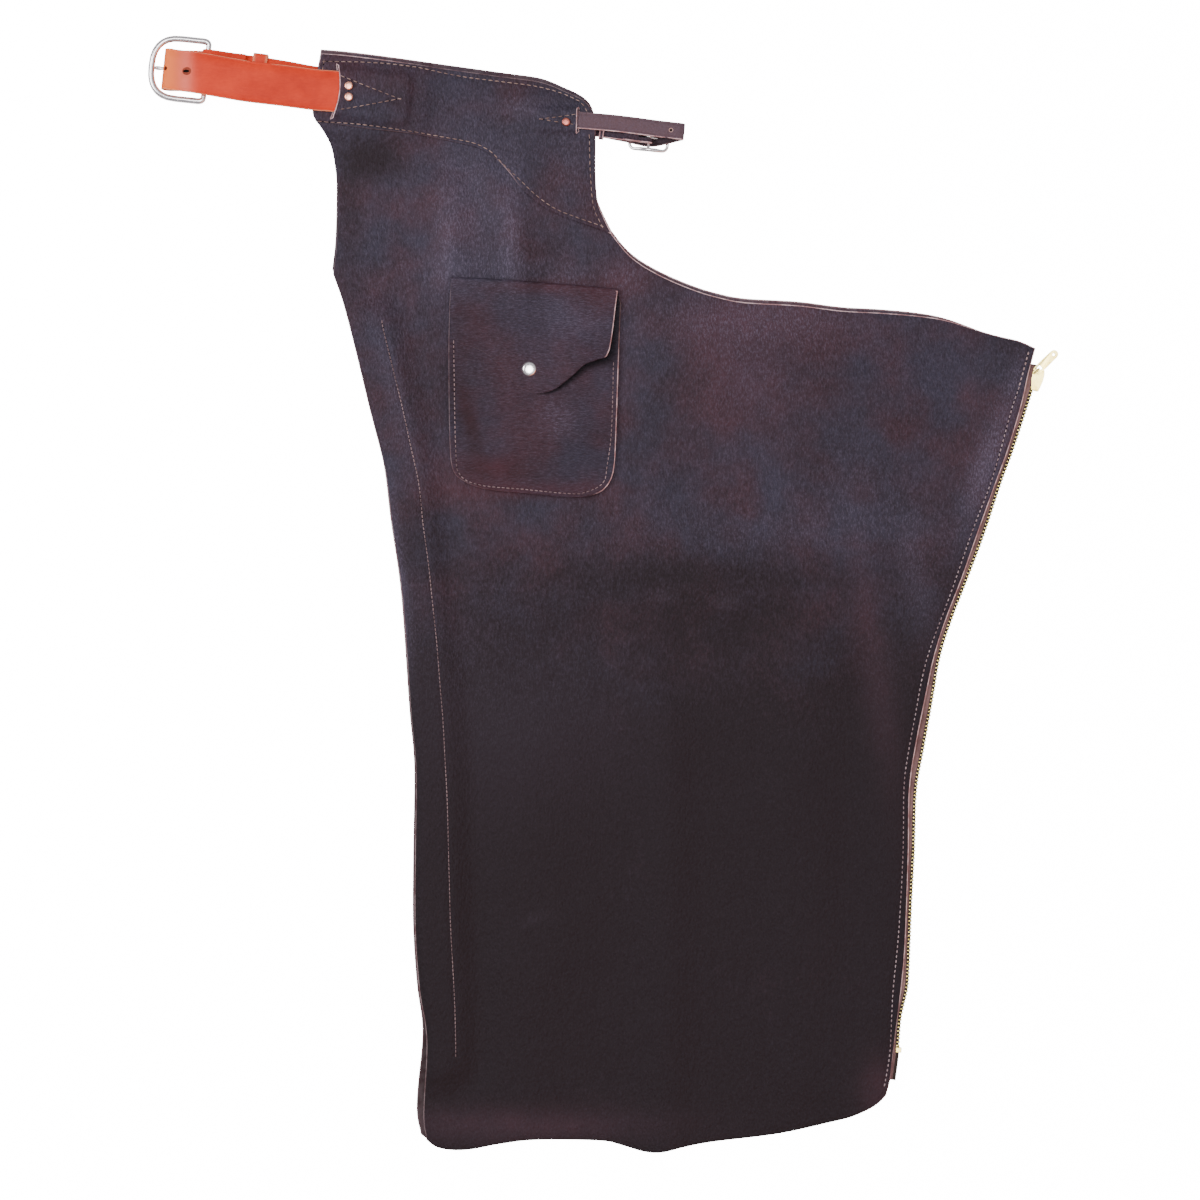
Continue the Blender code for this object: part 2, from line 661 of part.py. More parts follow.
def make_lower_leg(chaps):
    """The leg that lies underneath: its yoke, its panel and both halves of its zip."""
    panel, yoke = lowered(PANEL_LOOP), lowered(YOKE_LOOP)
    zip_seam = [p + np.array([LOWER_ZIP_SHIFT, 0]) for p in SEAM_LINE]
    swells = []
    for tuck in (BELT_TUCK, STRAP_TUCK):
        length = tuck_frame(tuck)[3]
        for spread in (5.0, 15.0):
            swells.append(tuck_box(tuck, -60, length + spread, tuck["half"] + spread))
    foot = offset(lowered(YOKE_SEAM), 9.5)
    mesh = planar_mesh([panel, yoke] + swells, [foot], FLAT_LATTICE, np.array(panel))
    slab("yoke_lower", mesh, cut_from(mesh, yoke), lambda p: np.zeros(len(p)), YOKE, LEATHER, chaps)
    slab("leg_panel_lower", mesh, cut_from(mesh, panel), lower_underside, PANEL, LEATHER, chaps)
    laid = lambda p: np.full(len(p), PANEL + GAP)
    make_side_zip("lower_side", zip_seam, laid, 1.6, chaps)
    make_tape("lower_edge", shown_tape(LOWER_TEETH_LINE), laid, 0.0, chaps)
    make_teeth("lower_edge", teeth_band(LOWER_TEETH_LINE), laid(LOWER_TEETH_LINE), chaps)


def make_tape(name, lines, underside, climb, chaps):
    """A woven tape between three lines, the last of them raised by a climb."""
    lows = [underside(np.array(line)) + rise for line, rise in zip(lines, (0.0, 0.0, climb))]
    strip("zip_tape_" + name, lines, lows, [z + TAPE for z in lows], ZIP_CLOTH, chaps)


def make_teeth(name, lines, tape_lows, chaps):
    """The row of teeth between two lines, as one bar that stands out on both sides of its tape."""
    middle = tape_lows + TAPE / 2
    low, high = middle - TEETH_HEIGHT / 2, middle + TEETH_HEIGHT / 2
    strip("zip_teeth_" + name, lines, [low] * 2, [high] * 2, BRASS, chaps)


def make_side_zip(name, seam, underside, climb, chaps):
    """A hidden half of a zip, laid from its seam outwards to its teeth."""
    edge = offset(seam, -SIDE_TAPE)
    make_tape(name, [offset(seam, SEAM_ALLOWANCE), offset(seam, SEAM_ALLOWANCE - SIDE_TAPE), edge],
              underside, climb, chaps)
    band = [offset(seam, -SIDE_TAPE - GAP), offset(seam, -SIDE_TAPE - GAP - TEETH_WIDTH)]
    make_teeth(name, band, underside(np.array(edge)) + climb, chaps)


def teeth_band(outer):
    """The teeth's inner and outer line."""
    return [offset(outer, -TEETH_WIDTH), outer]


def shown_tape(teeth, top=(), foot=()):
    """The three lines of a tape whose teeth show, from under the panel out to its own edge.

    Past the teeth's last point, at their foot, its edge steps out to the teeth's outer line.
    """
    outer = [np.array(p, float) for p in top] + list(teeth) + [np.array(p, float) for p in foot]
    edge = TEETH_WIDTH + GAP
    tape = [offset(outer, -s) for s in (edge + TAPE_SHOWN + TAPE_HIDDEN, edge + TAPE_SHOWN, edge)]
    beside_teeth = len(top) + len(teeth)
    tape[2][beside_teeth:] = outer[beside_teeth:]
    return tape


def make_upper_leg(chaps):
    """The leg on top, with its yoke, its pocket and both halves of its zip."""
    teeth = SIDE_TAPE + GAP + TEETH_WIDTH
    beside_seam = (SEAM_ALLOWANCE, SEAM_ALLOWANCE - SIDE_TAPE, -SIDE_TAPE, -teeth - 1.4, -teeth - 9.9)
    hidden = [offset(SEAM_LINE, s) for s in beside_seam]
    plateau = offset(ZIP_EDGE_LINE, -18.0)
    loops = [PANEL_LOOP, YOKE_LOOP, POUCH_LOOP, FLAP_LOOP, slit(BELT_TUCK), slit(STRAP_TUCK)]
    for tuck in (BELT_TUCK, STRAP_TUCK):
        loops += tuck_lines(tuck)
        reach = tuck_frame(tuck)[3] + UPPER_SWELL[0]
        loops.append(tuck_box(tuck, -45, reach, tuck["half"] + UPPER_SWELL[0]))
    plateau = [p for p in plateau if inside([p], PANEL_LOOP)[0]]
    mesh = planar_mesh(loops, hidden + [plateau], LATTICE, np.array(PANEL_LOOP))
    slab("leg_panel_upper", mesh, cut_from(mesh, PANEL_LOOP), upper_underside, PANEL, LEATHER, chaps)
    slits = (slit(BELT_TUCK), slit(STRAP_TUCK))
    slab("yoke_upper", mesh, cut_from(mesh, YOKE_LOOP, slits), yoke_underside, YOKE, LEATHER, chaps)
    pouch = cut_from(mesh, POUCH_LOOP)
    slab("pocket_front", mesh, pouch, lambda p: pouch_underside(p, 1), POCKET, LEATHER, chaps)
    make_flap(mesh, chaps)
    make_side_zip("upper_side", SEAM_LINE, lambda p: upper_underside(p) - GAP - TAPE, -1.6, chaps)
    sewn = lambda p: np.full(len(p), ZIP_PLANE - TAPE / 2)
    make_tape("upper_edge", shown_tape(UPPER_TEETH_LINE, TAPE_TOP, TAPE_FOOT), sewn, 0.0, chaps)
    make_teeth("upper_edge", teeth_band(UPPER_TEETH_LINE), sewn(UPPER_TEETH_LINE), chaps)


def make_flap(mesh, chaps):
    """The pocket's back, which folds over at the top and comes down as the flap."""
    points = mesh[0]
    back, flap = cut_from(mesh, POUCH_LOOP), cut_from(mesh, FLAP_LOOP)
    fold = np.array(FLAP_FOLD, float)
    on_fold = {i for i in {i for f in back for i in f} if distance_to([points[i]], fold)[0] < 0.2}
    way = (fold[1] - fold[0]) / np.linalg.norm(fold[1] - fold[0])
    out = np.array([-way[1], way[0]])
    order = sorted(on_fold, key=lambda i: float((points[i] - fold[0]) @ way))

    def heights(chosen, layers):
        low = pouch_underside(points[chosen], layers)
        return low, low + POCKET

    corners_outer, corners_inner, faces = [], [], []

    def place(xy, outer, inner):
        corners_outer.append((*xy, outer))
        corners_inner.append((*xy, inner))
        return len(corners_outer) - 1

    used_back = sorted({i for f in back for i in f})
    low, high = heights(used_back, 0)
    at_back = {i: place(points[i], o, n) for i, o, n in zip(used_back, low, high)}
    used_flap = sorted({i for f in flap for i in f})
    low, high = heights(used_flap, 2)
    at_flap = {i: place(points[i], o, n) for i, o, n in zip(used_flap, high, low)}
    faces += [tuple(at_back[i] for i in f[::-1]) for f in back]
    faces += [tuple(at_flap[i] for i in f) for f in flap]
    rows = []
    for step in range(FOLD_ARCS + 1):
        if step == 0:
            rows.append([at_back[i] for i in order])
            continue
        if step == FOLD_ARCS:
            rows.append([at_flap[i] for i in order])
            continue
        angle = math.pi * step / FOLD_ARCS
        row = []
        for i in order:
            ends = [(corners_outer[at_back[i]][2], corners_outer[at_flap[i]][2]),
                    (corners_inner[at_back[i]][2], corners_inner[at_flap[i]][2])]
            sides = []
            for low_z, high_z in ends:
                radius = (high_z - low_z) / 2
                sides.append((points[i] + out * radius * math.sin(angle) * FOLD_REACH,
                              (low_z + high_z) / 2 - radius * math.cos(angle)))
            corners_outer.append((*sides[0][0], sides[0][1]))
            corners_inner.append((*sides[1][0], sides[1][1]))
            row.append(len(corners_outer) - 1)
        rows.append(row)
    for lower_row, upper_row in zip(rows, rows[1:]):
        for k in range(len(order) - 1):
            faces.append((lower_row[k], upper_row[k], upper_row[k + 1], lower_row[k + 1]))
    count = len(corners_outer)
    walls = [(a, b, b + count, a + count) for a, b in border(faces)]
    body = faces + [tuple(i + count for i in f[::-1]) for f in faces] + [w[::-1] for w in walls]
    solid("pocket_flap", corners_outer + corners_inner, body, LEATHER, chaps)


# ---------------------------------------------------------------- straps and buckles

def path(axis, stations, step=16.0):
    """A strap's path: its line seen from above, at heights given along x."""
    flat = spaced(axis, step)
    order = sorted(stations)
    xs, zs = [s[0] for s in order], [s[1] for s in order]
    extra = [x for x in xs if min(axis[0][0], axis[-1][0]) < x < max(axis[0][0], axis[-1][0])]
    line = np.array(flat)
    if line[0, 0] > line[-1, 0]:
        line = line[::-1]
        back = True
    else:
        back = False
    across = sorted({round(float(x), 2) for x in line[:, 0]} | {round(x, 2) for x in extra})
    kept = [across[0]]
    for x in across[1:]:
        if x - kept[-1] > 2.5 or x in extra:
            if x - kept[-1] < 2.5 and kept[-1] not in extra:
                kept.pop()
            kept.append(x)
    points = [(x, float(np.interp(x, line[:, 0], line[:, 1])), float(np.interp(x, xs, zs))) for x in kept]
    return points[::-1] if back else points


def bend(centre, start, end, radius, heading, steps=8):
    """An arc of a strap round a point, in the upright plane along its heading (a unit vector)."""
    arc = []
    for k in range(1, steps):
        angle = math.radians(start + (end - start) * k / steps)
        arc.append((centre[0] + heading[0] * radius * math.cos(angle),
                    centre[1] + heading[1] * radius * math.cos(angle), centre[2] + radius * math.sin(angle)))
    return arc


def on_buckle(u, v, z):
    """A point of the belt buckle, u from its heel bar towards the frame's round end."""
    way = np.array([math.cos(HEEL_TURN), math.sin(HEEL_TURN)])
    return (*(np.array(HEEL_AT) + way * u + np.array([-way[1], way[0]]) * v), z)


def on_small_buckle(u, v, z):
    """A point of the small buckle, u from its middle bar towards the billet's end."""
    way = np.array([math.cos(SMALL_BUCKLE_TURN), math.sin(SMALL_BUCKLE_TURN)])
    return (*(np.array(SMALL_BUCKLE_AT) + way * u + np.array([-way[1], way[0]]) * v), z)


def tail_heights(tuck, tail_z):
    """Heights, by x, of a strap's middle from its tail up to the slit."""
    at, way, _, length = tuck_frame(tuck)
    heights = [(tuck["to"][0], tail_z)]
    for k in range(4):
        u = tuck_slope(tuck) * k / 3
        heights.append((at[0] + way[0] * u, tail_z + (YOKE + GAP) * float(tuck_rise(tuck, u))))
    return heights


def make_belt(chaps, helpers):
    """The billet: out of the slit, over the buckle, down through it and back along the floor."""
    tail_z = upper_top([(-200, 471)])[0] + GAP + BELT / 2
    slit_z = tail_z + YOKE + GAP
    over_buckle = BAR_Z + BAR + BELT + 2 * GAP + OVER_BUCKLE + BELT / 2
    floor_z = GAP + BELT / 2
    fold_x, fold_y, fold_z = BELT_FOLD
    heights = tail_heights(BELT_TUCK, tail_z)
    heights += [(-280, slit_z), (-377, over_buckle), (-392, over_buckle - 0.4), (fold_x, fold_z)]
    top = path(BELT_TOP, heights)
    fold_radius = (fold_z - floor_z) / 2
    centre = (fold_x, fold_y, floor_z + fold_radius)
    heading = np.array([math.cos(HEEL_TURN), math.sin(HEEL_TURN)])
    turn = bend(centre, 90, -90, fold_radius, heading, 9)
    in_keeper = floor_z + 1.5
    tail = path(BELT_UNDER[:4] + [(-285, 485)],
                [(fold_x, floor_z), (-340, floor_z), (-335, in_keeper), (-321, in_keeper),
                 (-312, floor_z), (-285, floor_z)])
    billet = ribbon("belt_billet", top + turn + tail, BELT_HALF, BELT, TAN, chaps)
    prong_z = BAR_Z - BAR - GAP - PRONG
    on_fold = [(*(np.array(centre[:2]) + heading * r * math.cos(FOLD_HOLE_TURN)),
                centre[2] + r * math.sin(FOLD_HOLE_TURN)) for r in (fold_radius - 3, fold_radius + 6)]
    for name, start, end in (
            ("prong_hole", on_buckle(29, PRONG_ACROSS, prong_z), on_buckle(56, PRONG_ACROSS, prong_z)),
            ("fold_hole", *on_fold),
            ("spare_hole", (*SPARE_HOLE, over_buckle - 2.4), (*SPARE_HOLE, over_buckle + 6))):
        combine(billet, rod_between(name, start, end, HOLE, helpers), "DIFFERENCE")


def make_buckle_strap(chaps, helpers):
    """The strap from under the yoke, through the keeper, round the heel bar and back on itself."""
    radius = BAR + GAP + BELT / 2
    layer_z = YOKE + GAP + BELT / 2
    in_keeper = 6.7
    end = path(BELT_UNDER[1:],
               [(-187, layer_z), (-276, layer_z), (-286, 5.4), (-321, in_keeper), (-335, in_keeper),
                (-377, BAR_Z - radius)])
    turn = bend((-377, 498, BAR_Z), -90, -270, radius, np.array([0.99, -0.12]), 8)
    back = path([(-377, 498), (-360, 496), (-341, 493.8)],
                [(-377, BAR_Z + radius), (-366, 12.6), (-354, 9.7), (-341, 10.1)])
    strap = ribbon("belt_buckle_strap", end[::-1] + turn + back, BELT_HALF, BELT, TAN, chaps)
    slot_at = on_buckle(-1.0, PRONG_ACROSS, BAR_Z)
    combine(strap, slot_cutter("prong_slot", slot_at, HEEL_TURN, PRONG_SLOT, helpers), "DIFFERENCE")


def slot_cutter(name, at, turn, size, helpers):
    """A plain box that cuts the slot for a prong."""
    bpy.ops.mesh.primitive_cube_add(size=1)
    slot = bpy.context.object
    slot.name = name
    slot.scale = Vector(size) * MM
    slot.location = Vector(at) * MM
    slot.rotation_euler.z = turn
    for home in list(slot.users_collection):
        home.objects.unlink(slot)
    helpers.objects.link(slot)
    return slot


def make_belt_buckle(chaps):
    """A horseshoe frame of round wire with its prong, lying flat."""
    half = BUCKLE_HALF
    heel = [(0, -half + 3), (0, -half / 3), (0, half / 3), (0, half - 3)]
    bow = [(1, half - 1), (4, half)]
    bow += [(BUCKLE_ARM + BUCKLE_END * abs(math.sin(a)) ** BUCKLE_SQUARENESS,
             half * math.copysign(abs(math.cos(a)) ** BUCKLE_SQUARENESS, math.cos(a)))
            for a in np.linspace(0, math.pi, 15)]
    bow += [(4, -half), (1, -half + 1)]
    loop = [on_buckle(u, v, BAR_Z) for u, v in heel + bow]
    radii = [BAR] * len(heel) + [BOW] * len(bow)
    wire("belt_buckle_frame", loop, BAR, STEEL, chaps, closed=True, radii=radii)
    ring = BAR + GAP + PRONG
    eye = [(ring * math.cos(math.radians(a)), BAR_Z + ring * math.sin(math.radians(a)))
           for a in range(120, -91, -30)]
    line = [on_buckle(-u, PRONG_ACROSS, z) for u, z in eye]
    line += [on_buckle(u, PRONG_ACROSS, BAR_Z - ring) for u in (18, 34, 42)]
    tip_u, tip_z = PRONG_TIP
    line.append(on_buckle(tip_u, PRONG_ACROSS, tip_z))
    wire("belt_prong", line, PRONG, STEEL, chaps)


def make_keeper(name, keeper, half, finish, chaps):
    """A closed band round a strap and its tail."""
    way = np.array([math.cos(keeper["turn"]), math.sin(keeper["turn"])])
    across = np.array([-way[1], way[0]])
    corners = []
    for u in (-keeper["length"] / 2, keeper["length"] / 2):
        for grow in (0, keeper["wall"]):
            reach, low, high = half + grow, keeper["low"] - grow, keeper["high"] + grow
            for v, z in ((-reach, low), (reach, low), (reach, high), (-reach, high)):
                corners.append((*(np.array(keeper["at"]) + way * u + across * v), z))
    body = []
    for k in range(4):
        n = (k + 1) % 4
        body += [(k, n, n + 8, k + 8), (k + 4, k + 12, n + 12, n + 4)]
        body += [(k, k + 4, n + 4, n), (k + 8, n + 8, n + 12, k + 12)]
    solid(name, corners, body, finish, chaps)


def make_crotch_strap(chaps, helpers):
    """The small strap's two halves, buckled up below the line of the belt."""
    tail_z = upper_top([(-44, 450)])[0] + GAP + STRAP / 2
    slit_z = tail_z + YOKE + GAP
    top_z, low_z = STRAP_TOP_Z, STRAP_LOW_Z
    heights = tail_heights(STRAP_TUCK, tail_z) + [(-5, slit_z), (26, top_z), (74, top_z)]
    top = path([STRAP_TUCK["to"]] + STRAP_TOP, heights, 10.0)
    radius = (top_z - low_z) / 2
    turn = bend((74, 439.5, low_z + radius), 90, -90, radius, np.array([0.99, -0.1]), 6)
    tail = path(STRAP_TAIL, [(74, low_z), (60, low_z), (50, 1.6), (40, 1.6), (29, 5.1), (23, 5.1), (12, 2.8),
                             (-2.0, 2.8)], 8.0)
    billet = ribbon("crotch_billet", top + turn + tail, STRAP_HALF, STRAP, LEATHER, chaps)
    along_prong = on_small_buckle(1, 0, 4.1), on_small_buckle(19, 0, 1.1)
    hole = rod_between("small_prong_hole", *along_prong, 1.5, helpers, 12)
    combine(billet, hole, "DIFFERENCE")
    above, below = (*SMALL_SPARE_HOLE, top_z + 2.8), (*SMALL_SPARE_HOLE, top_z - 1.8)
    combine(billet, rod_between("small_spare_hole", below, above, SMALL_HOLE, helpers, 12), "DIFFERENCE")
    radius = SMALL_BAR + GAP + STRAP / 2
    layer_z = YOKE + GAP + STRAP / 2
    end = path(STRAP_UNDER, [(-44, layer_z), (-6.9, layer_z), (-3.0, 5.7), (5, 5.7), (23, 7.8), (29, 7.8),
                             (44, SMALL_BAR_Z - radius)], 10.0)
    turn = bend((44, 437, SMALL_BAR_Z), -90, 90, radius, np.array([0.99, -0.1]), 6)
    back = path([(44, 437), (32, 438.4), (20, 440)], [(44, SMALL_BAR_Z + radius), (32, 10.3), (20, 9.9)], 6.0)
    strap = ribbon("crotch_buckle_strap", end[::-1] + turn + back, STRAP_HALF, STRAP, LEATHER, chaps)
    slot_at = on_small_buckle(0, 0, SMALL_BAR_Z)
    slot = slot_cutter("small_prong_slot", slot_at, SMALL_BUCKLE_TURN, SMALL_PRONG_SLOT, helpers)
    combine(strap, slot, "DIFFERENCE")


def make_small_buckle(chaps, helpers):
    """A bowed frame with its bar across the middle, and the prong on that bar."""
    half, reach, corner = SMALL_HALF, SMALL_REACH, SMALL_CORNER

    def level(u):
        return float(np.interp(u, [-reach, -7, 0, 7, reach], [1.7, 6.0, SMALL_BAR_Z, 6.4, 3.9]))

    shape, radii = [], []
    for side_u, side_v, first in ((1, 1, 0), (-1, 1, 90), (-1, -1, 180), (1, -1, 270)):
        for a in range(3):
            angle = math.radians(first + 45 * a)
            shape.append((side_u * (reach - corner) + corner * math.cos(angle),
                          side_v * (half - corner) + corner * math.sin(angle)))
            radii.append(SMALL_BAR)
        if side_v == side_u:
            shape += [(side_u * 7, side_v * half), (0, side_v * half), (-side_u * 7, side_v * half)]
            radii += [SMALL_ARM] * 3
    points = [on_small_buckle(u, v, level(u)) for u, v in shape]
    rim = wire("crotch_buckle_frame", points, SMALL_BAR, STEEL, chaps, closed=True, radii=radii)
    frame = as_mesh(rim)
    ends = [on_small_buckle(0, v, SMALL_BAR_Z) for v in (-half, half)]
    bar = as_mesh(wire("crotch_buckle_bar", ends, SMALL_BAR * 0.96, STEEL, helpers))
    combine(frame, bar, "UNION")
    ring = SMALL_BAR + GAP + SMALL_PRONG
    loop = [(ring * math.cos(math.radians(a)), SMALL_BAR_Z + ring * math.sin(math.radians(a)))
            for a in range(60, 271, 30)]
    line = [on_small_buckle(u, 0, z) for u, z in loop]
    line += [on_small_buckle(u, 0, z) for u, z in ((8, 2.7), (19, 1.15))]
    wire("crotch_prong", line, SMALL_PRONG, STEEL, chaps)


def make_fastenings(chaps):
    """Copper rivets through the yoke, and the snap's cap on the flap."""
    for name, at, radius in RIVETS:
        base = max(yoke_underside([np.array(at) + (radius * c, radius * s)])[0]
                   for c, s in ((1, 0), (-1, 0), (0, 1), (0, -1), (0, 0))) + YOKE + GAP
        dome(name, at, base, radius, RIVET_HEIGHT, COPPER, chaps)
    base = max(pouch_underside([np.array(SNAP_AT) + (SNAP_RADIUS * c, SNAP_RADIUS * s)], 2)[0]
               for c, s in ((1, 0), (-1, 0), (0, 1), (0, -1))) + POCKET + GAP
    dome("snap_cap", SNAP_AT, base, SNAP_RADIUS, SNAP_HEIGHT, STEEL, chaps, rings=4, sides=28)


# ---------------------------------------------------------------- the zip's slider, pull tab and end box

def turned(shape, at, angle):
    """An outline turned by an angle and moved to a place."""
    c, s = math.cos(angle), math.sin(angle)
    return [(at[0] + u * c - v * s, at[1] + u * s + v * c) for u, v in shape]


def circle(at, radius, count=12):
    """Points of a circle."""
    angles = [2 * math.pi * k / count for k in range(count)]
    return [(at[0] + radius * math.cos(a), at[1] + radius * math.sin(a)) for a in angles]


def make_slider(chaps, helpers):
    """Two plates joined by a post, with the bridge that carries the pull tab."""
    top = ZIP_PLANE + CHANNEL / 2
    floor = ZIP_PLANE - CHANNEL / 2
    plate = turned(SLIDER_SHAPE, SLIDER_AT, SLIDER_TURN)
    post = turned(POST_SHAPE, SLIDER_AT, SLIDER_TURN)
    body = as_mesh(extruded("zip_slider", [plate], top, top + PLATE, BRASS, chaps))
    lower_plate = extruded("slider_lower_plate", [plate], floor - PLATE, floor, BRASS, helpers)
    upright = extruded("slider_post", [post], floor - PLATE / 3, top + PLATE / 3, BRASS, helpers)
    way = np.array([math.cos(PULL_TURN), math.sin(PULL_TURN)])
    base, crest = top + PLATE, top + PLATE + BRIDGE_RISE
    arch = [(BRIDGE_REACH, base - 0.5), (BRIDGE_REACH, crest - 1.2), (1.7, crest)]
    arch = [(-u, z) for u, z in arch] + arch[::-1]
    line = [(*(np.array(PULL_AT) + way * u), z) for u, z in arch]
    bridge = wire("slider_bridge", line, BRIDGE, BRASS, helpers)
    for piece in (lower_plate, upright, bridge):
        combine(body, as_mesh(piece), "UNION")


def make_pull(chaps):
    """The flat pull tab; its eye goes under the bridge, where its hinge line lies."""
    z = ZIP_PLANE + CHANNEL / 2 + PLATE + PULL_RISE
    tip = PULL_LENGTH - 4
    tab = [(-1, -PULL_HALF * 0.85), (7, -PULL_HALF), (tip - 1, -PULL_HALF * 0.95)]
    tab += [(tip + 4 * math.cos(a), 4 * math.sin(a)) for a in np.linspace(-1.2, 1.2, 7)]
    tab += [(tip - 1, PULL_HALF * 0.95), (7, PULL_HALF), (-1, PULL_HALF * 0.85)]
    eye = [(1.0, -2.0), (6.0, -2.0), (6.0, 2.0), (1.0, 2.0)]
    hole = circle((tip - 0.6, 0), PULL_HOLE)
    made = extruded("zip_pull_tab", [tab, eye, hole], -PULL_THICK / 2, PULL_THICK / 2, BRASS, chaps)
    made.location = (PULL_AT[0] * MM, PULL_AT[1] * MM, z * MM)
    made.rotation_euler.z = PULL_TURN


def make_zip_box(chaps, helpers):
    """The box at the foot of the zip, clamped on the tape's edge."""
    length, width, height = BOX_SIZE
    u, v = length / 2, width / 2
    loop = turned([(-u, -v), (u, -v), (u, v), (-u, v)], BOX_AT, BOX_TURN)
    box = as_mesh(extruded("zip_box", [loop], ZIP_PLANE - height / 2, ZIP_PLANE + height / 2, BRASS, chaps))
    side = np.array([-math.sin(BOX_TURN), math.cos(BOX_TURN)])
    slot_at = (*(np.array(BOX_AT) + side * (width / 2 - 0.5)), ZIP_PLANE)
    slot = slot_cutter("tape_slot", slot_at, BOX_TURN, (length + 4, width + 2, TAPE + 2 * GAP), helpers)
    combine(box, slot, "DIFFERENCE")


def clear_scene():
    for obj in list(bpy.data.objects):
        bpy.data.objects.remove(obj)


def main():
    clear_scene()
    chaps = bpy.data.collections.new("leather_chaps")
    helpers = bpy.data.collections.new("cutters")
    for collection in (chaps, helpers):
        bpy.context.scene.collection.children.link(collection)
    make_lower_leg(chaps)
    make_upper_leg(chaps)
    make_belt(chaps, helpers)
    make_buckle_strap(chaps, helpers)
    make_belt_buckle(chaps)
    make_keeper("belt_keeper", BELT_KEEPER, BELT_HALF + 1.5, TAN, chaps)
    make_crotch_strap(chaps, helpers)
    make_small_buckle(chaps, helpers)
    make_keeper("crotch_keeper", CROTCH_KEEPER, STRAP_HALF + 0.6, LEATHER, chaps)
    make_fastenings(chaps)
    make_slider(chaps, helpers)
    make_pull(chaps)
    make_zip_box(chaps, helpers)


main()
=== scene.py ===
"""Leather chaps, opened out and laid flat: the looks of every piece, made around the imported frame.

Tables and helpers work in millimetres, MM turns them into metres; +Y runs up to the waist and
+X across to the zip's edge. The shapes follow the same outlines and heights as the solids do,
with rounded cut edges, sewing, teeth, grain and the soft unevenness of a hide.
"""

import math
from functools import partial

import bmesh
import bpy
import numpy as np
from mathutils import Matrix, Vector, noise
from mathutils.geometry import delaunay_2d_cdt
from mathutils.kdtree import KDTree


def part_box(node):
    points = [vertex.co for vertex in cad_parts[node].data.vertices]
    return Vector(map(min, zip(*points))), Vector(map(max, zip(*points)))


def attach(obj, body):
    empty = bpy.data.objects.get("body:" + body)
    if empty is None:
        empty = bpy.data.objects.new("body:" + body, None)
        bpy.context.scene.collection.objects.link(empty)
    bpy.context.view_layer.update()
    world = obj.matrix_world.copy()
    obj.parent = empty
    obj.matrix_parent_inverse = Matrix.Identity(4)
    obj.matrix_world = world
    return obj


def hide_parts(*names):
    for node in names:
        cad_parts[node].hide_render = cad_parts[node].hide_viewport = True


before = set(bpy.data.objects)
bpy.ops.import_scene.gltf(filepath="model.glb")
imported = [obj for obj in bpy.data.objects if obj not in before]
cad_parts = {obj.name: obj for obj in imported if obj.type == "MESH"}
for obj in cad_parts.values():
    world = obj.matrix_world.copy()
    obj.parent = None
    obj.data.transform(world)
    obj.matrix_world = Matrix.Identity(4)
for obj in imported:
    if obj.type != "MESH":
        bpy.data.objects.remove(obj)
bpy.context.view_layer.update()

MM = 0.001
GAP = 0.3  # air between two pieces that are sewn or lie together

# Thickness of each leather and of the zip tape
PANEL = 2.0
YOKE = 2.0
BELT = 3.0
STRAP = 2.4
POCKET = 1.8
TAPE = 1.0

BELT_HALF = 19.5
STRAP_HALF = 8.0
EDGE_STEP = 5.0  # spacing of points along a cut edge
EDGE_RINGS = (0.5, 1.4)  # rings inside a cut edge, which round it
EDGE_DROP = 0.6
EDGE_RISE = 0.4
GROOVE_DEPTH = 0.5  # a row of stitches pulls the leather down
GROOVE_HALF = 1.0
GROOVE_STEP = 4.0
GROOVE_LINES = (-1.4, 0.0, 1.4)
STITCH_HEIGHT = 0.6
STITCHES_UNLIKE = 0.07  # how far one stitch leans and differs in size from the next
HOLES_UNLIKE = 0.1
TEETH_UNLIKE = 0.02
HOLE_WIDTH = 1.5  # of a needle hole, which lies at a height above the groove
HOLE_RISE = 0.06

# Zip, size 10
TEETH_WIDTH = 3.3
TEETH_HEIGHT = 4.2
TEETH_PITCH = 3.5
TAPE_SHOWN = 4.5
TAPE_HIDDEN = 8.0
SIDE_TAPE = 11.0
SIDE_TAPE_CLIMB = 1.6  # its free edge stands off the panel it is sewn to
BEAD = 2.9  # the dark cord at the tape's edge, on which the teeth are clamped
BEAD_RISE = 0.12
TAPE_PARTS = 6  # faces across each half of a tape
BEAD_FROM = TAPE_HIDDEN + TAPE_SHOWN - 0.3
SEAM_ALLOWANCE = 3.0

# The cut edges of a leg, each run a smooth curve from corner to corner: (across, up)
WAIST_AND_FRONT = [
    (-268, 514), (-243, 512), (-202, 507), (-152, 500), (-94, 492), (-59, 487), (-36, 478), (-18, 469),
    (-9, 457), (-7, 437), (-7, 400), (-5, 374), (1, 358), (9, 342)]
CROTCH = [
    (9, 342), (22, 326), (35, 315), (52, 305), (69, 297), (89, 289), (109, 283), (135, 278), (186, 275),
    (227, 270), (264, 268), (301, 265), (330, 260), (371, 247), (395, 241), (411, 234)]
ZIP_EDGE = [
    (411, 234), (404, 208), (398, 181), (385.5, 139), (373.5, 106), (355.5, 56), (341.5, 16), (326, -24),
    (315, -59), (307, -96), (297, -146), (291.5, -186), (290.5, -243), (289, -290), (287, -338),
    (284, -371), (280.5, -400), (277.5, -423), (275, -444), (273, -461), (269, -476)]
HEM = [
    (269, -476), (260, -485), (243, -494), (225, -500), (168, -513), (105, -521), (77, -526), (55, -531),
    (38, -530), (17, -524), (-3, -520), (-64, -519), (-98, -523), (-124, -528), (-143, -529),
    (-159, -526), (-168, -519)]
